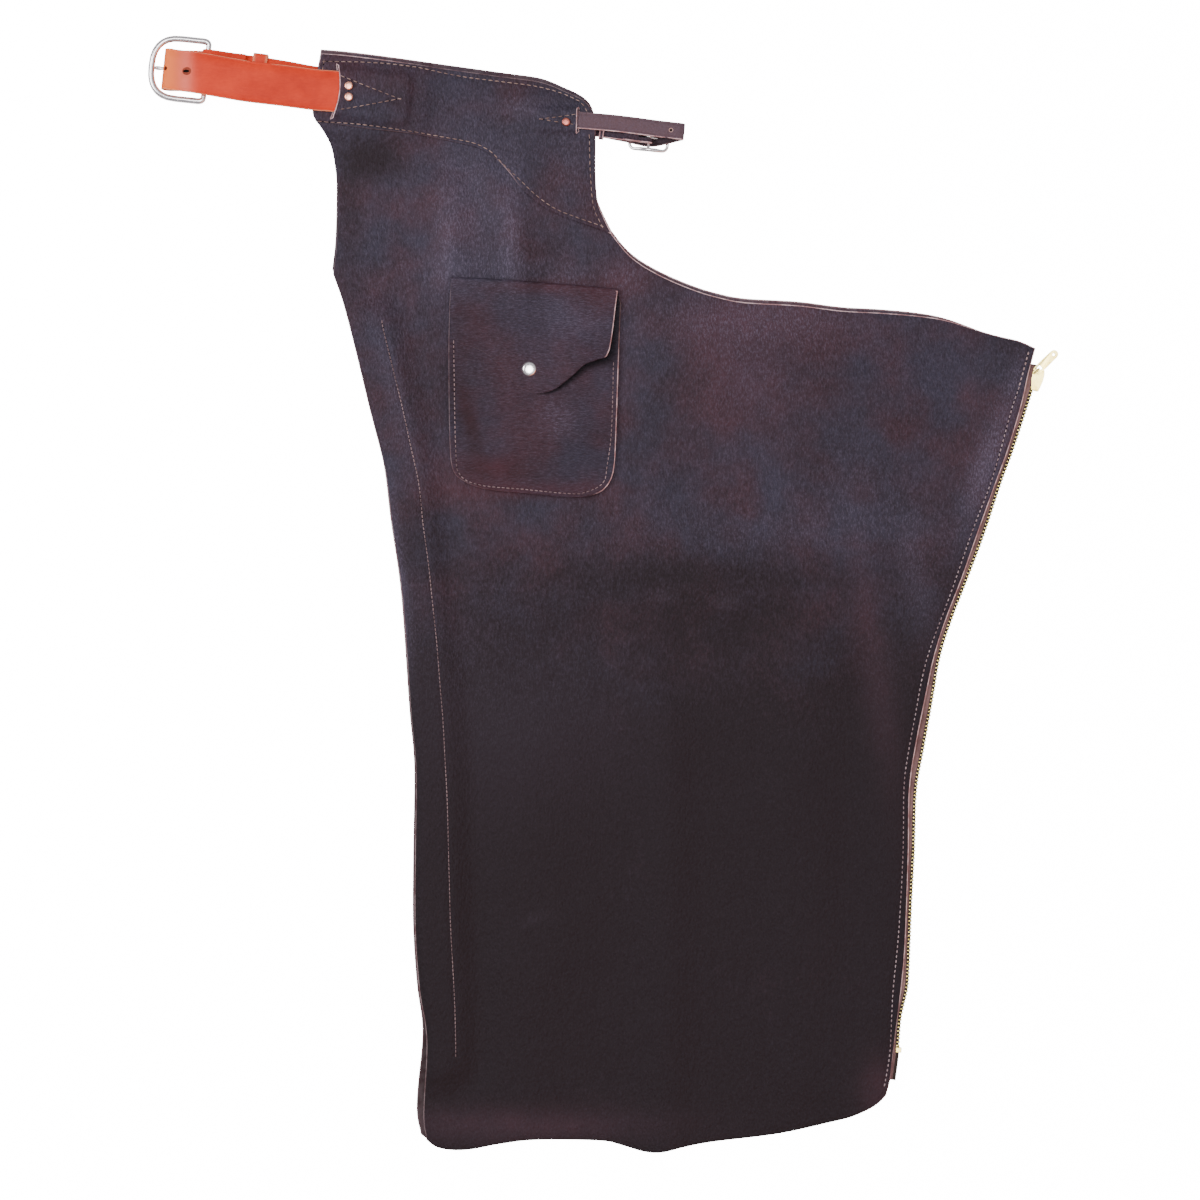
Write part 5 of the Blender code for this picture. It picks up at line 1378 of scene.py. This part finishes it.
def teeth_row(name, node, line):
    """Metal teeth set along the edge of a tape, heads outwards."""
    teeth = row_of(name, [resampled(line, 2.0)], TOOTH, TEETH_PITCH, BRASS, TEETH_UNLIKE, TEETH_UNLIKE, 3)
    teeth.data.set_sharp_from_angle(angle=math.radians(35))
    return finished(teeth, node)


# Sewing:            rows, height of the leather, pitch, stitch length, thread, seed, width
SEWING = {
    "yoke_sewing": (ALL_YOKE_ROWS, yoke_top, 6.1, 4.4, PALE_THREAD, 5, 0.95),
    "pocket_sewing": ([POCKET_ROW], pocket_top, 4.5, 3.3, PINK_THREAD, 6, 0.95),
    "side_sewing": ([SIDE_ROW], upper_top, 3.85, 3.4, PINK_THREAD, 7, 0.9),
    "zip_sewing_top": ([ZIP_ROW_TOP], upper_top, 4.7, 3.3, WHITE_THREAD, 8, 1.5),
    "zip_sewing": ([ZIP_ROW], upper_top, 4.7, 2.9, DUSTY_THREAD, 9, 1.15)}


def seam(name, rows, height, pitch, length, finish, seed, width):
    """Rows of stitches with a needle hole at each end, lying in their groove."""
    lines, pits = [], []
    for row in rows:
        even = spaced(row, 1.5)
        line = np.column_stack([even, height(even) - GROOVE_DEPTH])
        lines.append(line)
        along = lengths_along(line)
        start = [np.interp(pitch / 2, along, column) for column in line.T]
        pits.append(np.vstack([start, line[along > pitch / 2 + 0.1]]) + (0, 0, HOLE_RISE))
    stitch, hole = stitch_piece(length, width, STITCH_HEIGHT), hole_piece(HOLE_WIDTH)
    finished(row_of(name, lines, stitch, pitch, finish, STITCHES_UNLIKE, STITCHES_UNLIKE, seed))
    finished(row_of(name + "_holes", pits, hole, pitch, HOLE_SHADE, 0.0, HOLES_UNLIKE, seed))
    for helper in (stitch, hole):
        bpy.data.objects.remove(helper)


TOOTH = tooth_piece()


# ---------------------------------------------------------------- straps

BELT_TAIL_Z = float(upper_top([(-200, 471)])[0]) + GAP + BELT / 2
STRAP_TAIL_Z = float(upper_top([(-44, 450)])[0]) + GAP + STRAP / 2
BEND_STEPS = 24
STRAP_END = (0.985, 0.72)  # how much narrower and thinner a strap's cut end is
EDGE_BAND = 1.4
KEEPER_CORNER = 1.6
SMALL_FOLD_WAY = np.array([0.99, -0.1])

# Marks at places along x:     x  half width  from z  to z  how much
BELT_MARKS = {"bend": [(-413, 13, 8.0, 99, 1.0)],
              "shine": [(-396, 8, 8.0, 99, 0.9)]}
# On the small strap: wear with a painted highlight at its fold, and painted shadow on its tail under its top
# run.
SMALL_MARKS = {"rubbed": [(77.5, 1.6, 8.0, 99, 1.0)],
               "shadow": [(50, 90, -9, 9.5, 0.75)]}


def path(axis, stations, step=4.0):
    """A strap's path: its line seen from above, at heights given along x."""
    order = sorted(stations)
    xs, zs = [s[0] for s in order], [s[1] for s in order]
    return [(x, y, float(np.interp(x, xs, zs))) for x, y in spaced(axis, step)]


def bend(centre, start, end, radius, heading):
    """An arc of a strap round a point, in the upright plane along its heading (a unit vector)."""
    arc = []
    for angle in np.radians(np.linspace(start, end, BEND_STEPS + 1)[1:-1]):
        flat = np.array(centre[:2]) + heading * radius * math.cos(angle)
        arc.append((*flat, centre[2] + radius * math.sin(angle)))
    return arc


def eased_path(points, step=2.0, blur=1.6, fine=0.5):
    """The path at even distances, its corners rounded off."""
    line = resampled(points, fine)
    reach = int(3 * blur / fine)
    kernel = np.exp(-0.5 * (np.arange(-reach, reach + 1) * fine / blur) ** 2)
    kernel /= kernel.sum()
    before = 2 * line[0] - line[reach:0:-1]
    after = 2 * line[-1] - line[-2:-reach - 2:-1]
    padded = np.vstack([before, line, after])
    soft = np.stack([np.convolve(column, kernel, "valid") for column in padded.T], axis=1)
    return resampled(soft, step)


def facings(centres):
    """The level way across a strap at each point of its path."""
    level = np.gradient(centres[:, :2], axis=0)
    step = np.linalg.norm(centres[1] - centres[0])
    found, facing = [], None
    for flat in level:
        if np.linalg.norm(flat) > 0.45 * step:
            turn = np.append(to_left(unit(flat)), 0)
            facing = turn if facing is None or turn @ facing > 0 else -turn
        found.append(facing)
    return np.array(found)


def strap_section(half, thickness):
    """Half a strap's section from edge to middle, mirrored all round: (across, up)."""
    t = thickness / 2
    quarter = [(half, 0.0), (half - 0.12, t * 0.55), (half - 0.5, t * 0.88), (half - 1.1, t),
               (half - 1.9, t), (half - 2.3, t - 0.22), (half - 2.7, t), (half * 0.45, t + 0.04)]
    top = quarter + [(-v, z) for v, z in quarter[::-1]]
    return top + [(v, -z) for v, z in top[::-1][1:-1]]


def swept(name, centres, across, section, finish, closed_ring=False):
    """A section carried along a path; across gives its level direction at each point."""
    count, rings = len(section), len(centres)
    if closed_ring:
        along = np.roll(centres, -1, axis=0) - np.roll(centres, 1, axis=0)
    else:
        along = np.gradient(centres, axis=0)
    up = unit(np.cross(unit(along), across))
    scale = np.ones((rings, 2))
    if not closed_ring:
        scale[[0, -1]] = STRAP_END
    v, z = (scale[:, None] * np.array(section, float)).transpose(2, 0, 1)[..., None]
    corners = centres[:, None] + across[:, None] * v + up[:, None] * z
    faces = []
    for r in range(rings if closed_ring else rings - 1):
        this, following = count * r, count * ((r + 1) % rings)
        for k in range(count):
            n = (k + 1) % count
            faces.append((this + k, this + n, following + n, following + k))
    if not closed_ring:
        faces += [tuple(range(count))[::-1], tuple(range(count * (rings - 1), count * rings))]
    return recalculated(body(name, corners.reshape(-1, 3), faces, finish, sharp=50))


def mark_strap(obj, centres, across, half, marks=None, far_side=1.0):
    """Marks of a strap: nearness to an edge, less so on its far side, and marks at places along x."""
    places = np.array([vert.co for vert in obj.data.vertices]) / MM
    known = nearest_of(centres)
    near = [known.find(place)[1] for place in places]
    v = ((places - centres[near]) * across[near]).sum(1)
    at_edge = np.clip(1 - (half - np.abs(v)) / EDGE_BAND, 0, 1)
    found = {"edge": at_edge, "pale": np.where(v > 0, far_side, 1.0)}
    for name, rows in (marks or {}).items():
        x, z = places[:, 0], places[:, 2]
        found[name] = sum(share * np.exp(-((x - at) / wide) ** 2) * ((low < z) & (z < high))
                          for at, wide, low, high, share in rows)
    mark(obj.data, found)


def cutter(name, start, end, radius, top_radius=None, finish=BELT_FLESH, squash=1.0):
    """A round cutter from one point to another, wider at its end if a top radius is given."""
    start, end = Vector(start), Vector(end)
    made = bmesh.new()
    bmesh.ops.create_cone(made, cap_ends=True, segments=28, radius1=radius,
                          radius2=top_radius or radius, depth=(end - start).length)
    facing = (end - start).to_track_quat("Z", "Y")
    for vert in made.verts:
        vert.co = facing @ (vert.co * Vector((1, squash, 1))) + (start + end) / 2
    return small_piece(name, made, finish)


def slot_cutter(name, at, turn, size, finish=BELT_FLESH):
    """A plain block that cuts the slot for a prong."""
    made = bmesh.new()
    bmesh.ops.create_cube(made, size=1)
    for vert in made.verts:
        x, y, z = vert.co * Vector(size)
        vert.co = Vector((*carried(turn, x, y), z)) + Vector(at)
    return small_piece(name, made, finish)


def cut(obj, *cutters):
    """The object with each cutter taken away; the walls of the cuts keep the cutter's finish."""
    for tool in cutters:
        step = obj.modifiers.new(tool.name, "BOOLEAN")
        step.object = tool
        step.material_mode = "TRANSFER"
    made = converted(obj)
    for tool in cutters:
        bpy.data.objects.remove(tool)
    smoothed(made.data, 50)
    return made


def buckle_place(at, turn, u, v, z):
    """A point of a buckle: u from its bar towards its end, v across and z up."""
    x, y = carried(turn, u, v)
    return at[0] + x, at[1] + y, z


on_buckle = partial(buckle_place, HEEL_AT, HEEL_TURN)
on_small_buckle = partial(buckle_place, SMALL_BUCKLE_AT, SMALL_BUCKLE_TURN)


def tail_heights(tuck, tail_z):
    """Heights, by x, of a strap's middle from its tail up to the slit."""
    at, way, _, _ = tuck_frame(tuck)
    heights = [(tuck["to"][0], tail_z)]
    for k in range(4):
        u = tuck_slope(tuck) * k / 3
        heights.append((at[0] + way[0] * u, tail_z + (YOKE + GAP) * float(tuck_rise(tuck, u))))
    return heights


def make_strap(name, node, points, half, thickness, finish, cutters=(), marks=None, far_side=1.0):
    """A strap on its path, its holes cut and its edges marked."""
    centres = eased_path(points)
    across = facings(centres)
    strap = swept(name, centres, across, strap_section(half, thickness), finish)
    if cutters:
        strap = cut(strap, *cutters)
    mark_strap(strap, centres, across, half, marks, far_side)
    return finished(strap, node)


def make_belt():
    """The billet: out of the slit, over the buckle, down through it and back along the floor."""
    slit_z = BELT_TAIL_Z + YOKE + GAP
    over_buckle = BAR_Z + BAR + BELT + 3 * GAP + BELT / 2 + 0.2
    floor_z = GAP + BELT / 2
    in_keeper = floor_z + 1.5
    fold_x, fold_y, fold_z = BELT_FOLD
    fold_radius = (fold_z - floor_z) / 2
    centre = (fold_x, fold_y, floor_z + fold_radius)
    heading = np.array([math.cos(HEEL_TURN), math.sin(HEEL_TURN)])
    top = path(BELT_TOP, tail_heights(BELT_TUCK, BELT_TAIL_Z) + [
        (-280, slit_z), (-377, over_buckle), (-392, over_buckle - 0.4), (fold_x, fold_z)])
    turn = bend(centre, 90, -90, fold_radius, heading)
    tail = path(BELT_UNDER[:4] + [(-285, 485)], [
        (fold_x, floor_z), (-340, floor_z), (-335, in_keeper), (-321, in_keeper), (-312, floor_z),
        (-285, floor_z)])
    prong_z = BAR_Z - BAR - GAP - PRONG
    on_fold = [(*(centre[:2] + heading * r * math.cos(FOLD_HOLE_TURN)),
                centre[2] + r * math.sin(FOLD_HOLE_TURN)) for r in (fold_radius - 3, fold_radius + 6)]
    through_fold = [on_buckle(u, PRONG_ACROSS, prong_z) for u in (29, 56)]
    spare = [(*SPARE_HOLE, over_buckle + z) for z in (-1.25, 3.0)]
    rim = [(*SPARE_HOLE, over_buckle + z) for z in (0.2, 2.2)]
    cutters = [cutter("prong_hole", *through_fold, HOLE),
               cutter("fold_hole", *on_fold, HOLE),
               cutter("spare_hole", *spare, 3.0, finish=HOLE_SHADE, squash=0.45),
               cutter("spare_rim", *rim, 3.6, 6.6, squash=0.85)]
    make_strap("waist_belt", "belt_billet", top + turn + tail, BELT_HALF, BELT, TAN, cutters, BELT_MARKS)


def make_buckle_strap():
    """The strap from under the yoke, through the keeper, round the heel bar and back on itself."""
    radius = BAR + GAP + BELT / 2
    layer_z = YOKE + GAP + BELT / 2
    in_keeper = 6.7
    end = path(BELT_UNDER[1:], [
        (-187, layer_z), (-276, layer_z), (-286, 5.4), (-321, in_keeper), (-335, in_keeper),
        (-377, BAR_Z - radius)])
    turn = bend((-377, 498, BAR_Z), -90, -270, radius, np.array([0.99, -0.12]))
    back = path([(-377, 498), (-360, 496), (-341, 493.8)], [
        (-377, BAR_Z + radius), (-366, 12.6), (-354, 9.7), (-341, 10.1)])
    slot = slot_cutter("prong_slot", on_buckle(-1.0, PRONG_ACROSS, BAR_Z), HEEL_TURN, (30, 4.6, 18))
    make_strap("buckle_strap", "belt_buckle_strap", end[::-1] + turn + back, BELT_HALF, BELT, TAN, [slot])


def make_crotch_billet():
    """The small strap's half with the holes: through the small buckle and back under itself."""
    slit_z = STRAP_TAIL_Z + YOKE + GAP
    top_z, low_z = 13.2, 7.5
    radius = (top_z - low_z) / 2
    top = path([STRAP_TUCK["to"]] + STRAP_TOP, tail_heights(STRAP_TUCK, STRAP_TAIL_Z) + [
        (-5, slit_z), (26, top_z), (74, top_z)], 2.5)
    turn = bend((74, 439.5, low_z + radius), 90, -90, radius, SMALL_FOLD_WAY)
    tail = path(STRAP_TAIL, [
        (74, low_z), (60, low_z), (50, 1.6), (40, 1.6), (29, 5.1), (23, 5.1), (12, 2.8), (-2.0, 2.8)], 2.0)
    for_prong = [on_small_buckle(1, 0, 4.1), on_small_buckle(19, 0, 1.1)]
    spare = [(*SMALL_SPARE_HOLE, top_z + z) for z in (-1.8, 2.8)]
    rim = [(*SMALL_SPARE_HOLE, top_z + z) for z in (0.7, 1.8)]
    cutters = [cutter("small_spare_rim", *rim, 1.5, 2.8, finish=PALE_FLESH),
               cutter("small_spare_hole", *spare, 1.25, finish=HOLE_SHADE),
               cutter("small_prong_hole", *for_prong, 1.5, finish=HOLE_SHADE)]
    make_strap("crotch_strap", "crotch_billet", top + turn + tail, STRAP_HALF, STRAP, STRAP_LEATHER, cutters,
               SMALL_MARKS, 0.1)


def make_crotch_buckle_strap():
    """The small strap's other half, folded round the bar of the small buckle."""
    radius = SMALL_BAR + GAP + STRAP / 2
    layer_z = YOKE + GAP + STRAP / 2
    end = path(STRAP_UNDER, [
        (-44, layer_z), (-6.9, layer_z), (-3.0, 5.7), (5, 5.7), (23, 7.8), (29, 7.8),
        (44, SMALL_BAR_Z - radius)], 2.5)
    turn = bend((44, 437, SMALL_BAR_Z), -90, 90, radius, SMALL_FOLD_WAY)
    back = path([(44, 437), (32, 438.4), (20, 440)], [
        (44, SMALL_BAR_Z + radius), (32, 10.3), (20, 9.9)], 1.5)
    at_bar = on_small_buckle(0, 0, SMALL_BAR_Z)
    slot = slot_cutter("small_slot", at_bar, SMALL_BUCKLE_TURN, (20, 3.4, 12), HOLE_SHADE)
    make_strap("crotch_buckle_piece", "crotch_buckle_strap", end[::-1] + turn + back, STRAP_HALF, STRAP,
               PANEL_LEATHER, [slot])


def rounded_box(reach, low, high, corner, between=()):
    """A rectangle with round corners, and points between them along its two long sides."""
    ring = []
    for side, top, first in ((1, 1, 0), (-1, 1, 90), (-1, 0, 180), (1, 0, 270)):
        level = high - corner if top else low + corner
        middle = side * (reach - corner)
        for angle in np.radians(first + np.arange(0, 91, 15)):
            ring.append((middle + corner * math.cos(angle), level + corner * math.sin(angle)))
        if side == (1 if top else -1):
            ring += [(side * u, high if top else low) for u in between]
    return ring


def make_keeper(name, node, keeper, half, finish):
    """A closed band of leather round a strap and its tail, with rounded corners."""
    way = np.array([*carried(keeper["turn"], 1, 0), 0])
    across = np.array([*to_left(way), 0])
    wall = keeper["wall"] / 2
    ring = rounded_box(half + wall, keeper["low"] - wall, keeper["high"] + wall, KEEPER_CORNER)
    ring = resampled(closed(np.array(ring)), 1.2)[:-1]
    centres = np.array([*keeper["at"], 0]) + across * ring[:, :1] + np.outer(ring[:, 1], (0, 0, 1))
    sides = np.tile(way, (len(ring), 1))
    width = keeper["length"] / 2
    right = [(width - 0.6, -wall), (width - 0.15, -wall * 0.7), (width, 0), (width - 0.15, wall * 0.7),
             (width - 0.6, wall)]
    section = right[2:] + [(0, wall + 0.05)] + [(-v, z) for v, z in right[::-1]] + right[:2]
    band = swept(name, centres, sides, section, finish, closed_ring=True)
    mark_strap(band, centres, sides, width)
    finished(band, node)


# ---------------------------------------------------------------- metal

def wire(name, points, radii, finish, ring=False):
    """A round bar along a smooth path, with a radius for each point or one for all."""
    obj = curve_object(name, [points], radii, ring)
    obj.data.bevel_depth = MM
    obj.data.bevel_resolution = 6
    obj.data.use_fill_caps = True
    obj.data.materials.append(finish)
    made = recalculated(converted(obj))
    smoothed(made.data, 50)
    return made


def turned(name, at, base, profile, finish, sides=48):
    """A piece turned about the upright through at, from its profile (radius, height)."""
    angles = np.arange(sides) * 2 * math.pi / sides
    points = [(at[0] + radius * math.cos(angle), at[1] + radius * math.sin(angle), base + height)
              for radius, height in profile for angle in angles]
    points += [(*at, base + profile[0][1]), (*at, base + profile[-1][1])]
    crown, foot = len(points) - 2, len(points) - 1
    last = sides * (len(profile) - 1)
    faces = []
    for k in range(sides):
        n = (k + 1) % sides
        faces += [(r + k, r + n, r + sides + n, r + sides + k) for r in range(0, last, sides)]
        faces += [(crown, n, k), (foot, last + k, last + n)]
    return recalculated(body(name, points, faces, finish, sharp=40))


RIVET_PROFILE = [
    (1.0, 1.5), (2.8, 1.45), (3.4, 1.3), (3.8, 1.0), (4.0, 0.6), (4.05, 0.3), (4.0, 0.0)]
SNAP_PROFILE = [
    (1.0, 2.6), (3.0, 2.53), (4.9, 2.36), (5.7, 2.1), (6.3, 1.65), (6.7, 1.1), (6.95, 0.6), (7.1, 0.2),
    (7.15, 0.0)]


def make_fastenings():
    """Copper rivets through the yoke, and the snap's cap on the flap."""
    for name, node, profile, finish in (
            ("rivet_upper", "belt_rivet_top", RIVET_PROFILE, PALE_COPPER),
            ("rivet_lower", "belt_rivet_bottom", RIVET_PROFILE, PALE_COPPER),
            ("rivet_crotch", "crotch_rivet", RIVET_PROFILE, RED_COPPER),
            ("snap", "snap_cap", SNAP_PROFILE, NICKEL)):
        low, high = (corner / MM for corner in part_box(node))
        finished(turned(name, ((low + high) / 2)[:2], low.z, profile, finish), node)


def make_belt_buckle():
    """The belt's horseshoe buckle and its prong."""
    half = BUCKLE_HALF
    heel = [(0, v, BAR) for v in (-half + 3, -half / 3, half / 3, half - 3)]
    bow = [(BUCKLE_ARM + BUCKLE_END * abs(math.sin(a)) ** BUCKLE_SQUARENESS,
            half * math.copysign(abs(math.cos(a)) ** BUCKLE_SQUARENESS, math.cos(a)), BOW)
           for a in np.linspace(0, math.pi, 15)]
    shape = [*heel, (1, half - 1, BOW), (4, half, BOW), *bow, (4, -half, BOW), (1, -half + 1, BOW), heel[0]]
    loop = eased_path([(*on_buckle(u, v, BAR_Z), radius) for u, v, radius in shape], 1.5, 0.8)[:-1]
    finished(wire("horseshoe_buckle", loop[:, :3], loop[:, 3], NICKEL, ring=True), "belt_buckle_frame")
    ring = BAR + GAP + PRONG
    round_bar = np.radians(np.arange(120, -91, -10))
    shape = [(-ring * math.cos(a), BAR_Z + ring * math.sin(a)) for a in round_bar]
    shape += [(u, BAR_Z - ring) for u in (6, 12, 18, 26, 34, 42, 43.5)]
    shape += [(45, BAR_Z - ring - 0.2), (48, BAR_Z - ring - 0.2), PRONG_TIP]
    line = [on_buckle(u, PRONG_ACROSS, z) for u, z in shape]
    radii = np.array([PRONG] * (len(line) - 3) + [PRONG * 1.25, PRONG * 1.2, PRONG * 0.8])
    finished(wire("belt_buckle_prong", line, radii, NICKEL), "belt_prong")


def make_small_buckle():
    """The small bowed buckle with its middle bar, and its prong."""
    half, reach = SMALL_HALF, SMALL_REACH
    shape = rounded_box(reach, -half, half, SMALL_CORNER, (10, 7, 3, 0, -3, -7, -10))
    along = [u for u, _ in shape]
    levels = np.interp(along, [-reach, -7, 0, 7, reach], [1.7, 6.0, SMALL_BAR_Z, 6.4, 3.9])
    radii = SMALL_ARM - (SMALL_ARM - SMALL_BAR) * ease((np.abs(along) - 8) / 4)
    loop = [on_small_buckle(u, v, z) for (u, v), z in zip(shape, levels)]
    rim = wire("small_buckle", loop, radii, NICKEL, ring=True)
    middle = [on_small_buckle(0, v, SMALL_BAR_Z) for v in (-half, half)]
    bar = wire("small_buckle_bar", middle, SMALL_BAR * 0.96, NICKEL)
    join = rim.modifiers.new("bar", "BOOLEAN")
    join.operation = "UNION"
    join.object = bar
    rim = converted(rim)
    bpy.data.objects.remove(bar)
    smoothed(rim.data, 50)
    finished(rim, "crotch_buckle_frame")
    ring = SMALL_BAR + GAP + SMALL_PRONG
    round_bar = np.radians(np.arange(60, 271, 15))
    shape = [(ring * math.cos(a), SMALL_BAR_Z + ring * math.sin(a)) for a in round_bar]
    shape += [(4, 3.6), (8, 2.7), (13, 1.9), (19, 1.15)]
    line = [on_small_buckle(u, 0, z) for u, z in shape]
    finished(wire("small_buckle_prong", line, SMALL_PRONG, NICKEL), "crotch_prong")


def softened_copy(name, node, width, finish, body_name="chaps"):
    """A node's shape with its hard edges rounded."""
    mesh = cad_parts[node].data.copy()
    mesh.transform(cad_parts[node].matrix_world)
    reshaped(mesh, partial(merge, distance=1e-5), partial(flattened, degrees=2))
    mesh.materials.clear()
    mesh.materials.append(finish)
    obj = shown(name, mesh)
    step = obj.modifiers.new("rounded", "BEVEL")
    step.width = width * MM
    step.segments = 2
    step.limit_method = "ANGLE"
    step.angle_limit = math.radians(35)
    rounded = converted(obj)
    smoothed(rounded.data, 20)
    finished(rounded, node, on=body_name)


# ---------------------------------------------------------------- surroundings

FRAME_WIDTH = 1.14  # what the camera sees at the middle of the part's height
PART_MIDDLE = 0.01
CAMERA_AT = (-0.00285, -0.0053, 3.01)
FLOOR_BELOW = 0.0004
PAPER_WHITE = (0.93, 0.93, 0.93, 1.0)
WARM_SIDE = (0.7, -0.7, 0.0)


def make_camera():
    camera = bpy.data.cameras.new("camera")
    camera.lens = camera.sensor_width * (CAMERA_AT[2] - PART_MIDDLE) / FRAME_WIDTH
    obj = shown("camera", camera)
    obj.location = CAMERA_AT
    bpy.context.scene.camera = obj


def area_light(name, place, target, size, power, colour=(1, 1, 1)):
    light = bpy.data.lights.new(name, "AREA")
    light.size = size
    light.energy = power
    light.color = colour
    obj = shown(name, light)
    obj.location = place
    obj.rotation_euler = (Vector(target) - Vector(place)).to_track_quat("-Z", "Y").to_euler()


def make_surroundings():
    """A white floor, a big soft light at the upper left, and pale fill all round."""
    mesh = bpy.data.meshes.new("floor")
    reshaped(mesh, partial(bmesh.ops.create_grid, x_segments=1, y_segments=1, size=6))
    mesh.transform(Matrix.Translation((0, 0, -FLOOR_BELOW)))
    paper = Finish("paper", {"Base Color": PAPER_WHITE, "Roughness": 0.9, "Emission Strength": 15.0})
    seen = paper.node("ShaderNodeLightPath", output="Is Camera Ray")
    paper.set("Emission Color", paper.mix(seen, (0.0, 0.0, 0.0), (1.0, 1.0, 1.0)))
    mesh.materials.append(paper.material)
    shown("floor", mesh)
    area_light("key", (-1.7, 0.6, 1.7), (-0.1, 0.0, 0), 1.1, 36, (0.94, 0.96, 1.0))
    area_light("fill", (1.6, -0.6, 2.4), (0, 0, 0), 2.2, 8)
    world = bpy.data.worlds.new("studio")
    world.use_nodes = True
    sky = Shading(world.node_tree, "Background", "Generated")
    height = sky.node("ShaderNodeSeparateXYZ", None, {"Vector": sky.place}, output="Z")
    toward = sky.node("ShaderNodeVectorMath", {"operation": "DOT_PRODUCT"}, {0: sky.place, 1: WARM_SIDE},
                      output="Value")
    walls = sky.mix(height.above(0.0, 0.8), (0.10, 0.10, 0.11), (0.50, 0.51, 0.55))
    walls = sky.mix(toward.above(0.6, 0.9), walls, (1.2, 0.42, 0.22))
    sky.set("Color", sky.mix(height.above(0.975, 0.99), walls, (12.0, 12.0, 12.3)))
    bpy.context.scene.world = world


# ---------------------------------------------------------------- all together

def main():
    make_camera()
    make_surroundings()
    panel_lower, yoke_lower = make_lower_leg()
    panel, yoke, pouch = make_upper_leg()
    flap = make_flap()
    tapes = make_tapes()
    make_belt()
    make_buckle_strap()
    make_crotch_billet()
    make_crotch_buckle_strap()
    make_keeper("belt_loop", "belt_keeper", BELT_KEEPER, BELT_HALF + 1.5, TAN)
    make_keeper("crotch_loop", "crotch_keeper", CROTCH_KEEPER, STRAP_HALF + 0.6, PANEL_LEATHER)
    make_fastenings()
    make_belt_buckle()
    make_small_buckle()
    softened_copy("slider", "zip_slider", 0.7, BRASS)
    softened_copy("pull_tab", "zip_pull_tab", 0.35, BRASS, "zip_pull")
    softened_copy("end_box", "zip_box", 0.35, BRASS)
    for name, sewing in SEWING.items():
        seam(name, *sewing)
    bpy.data.objects.remove(TOOTH)


main()
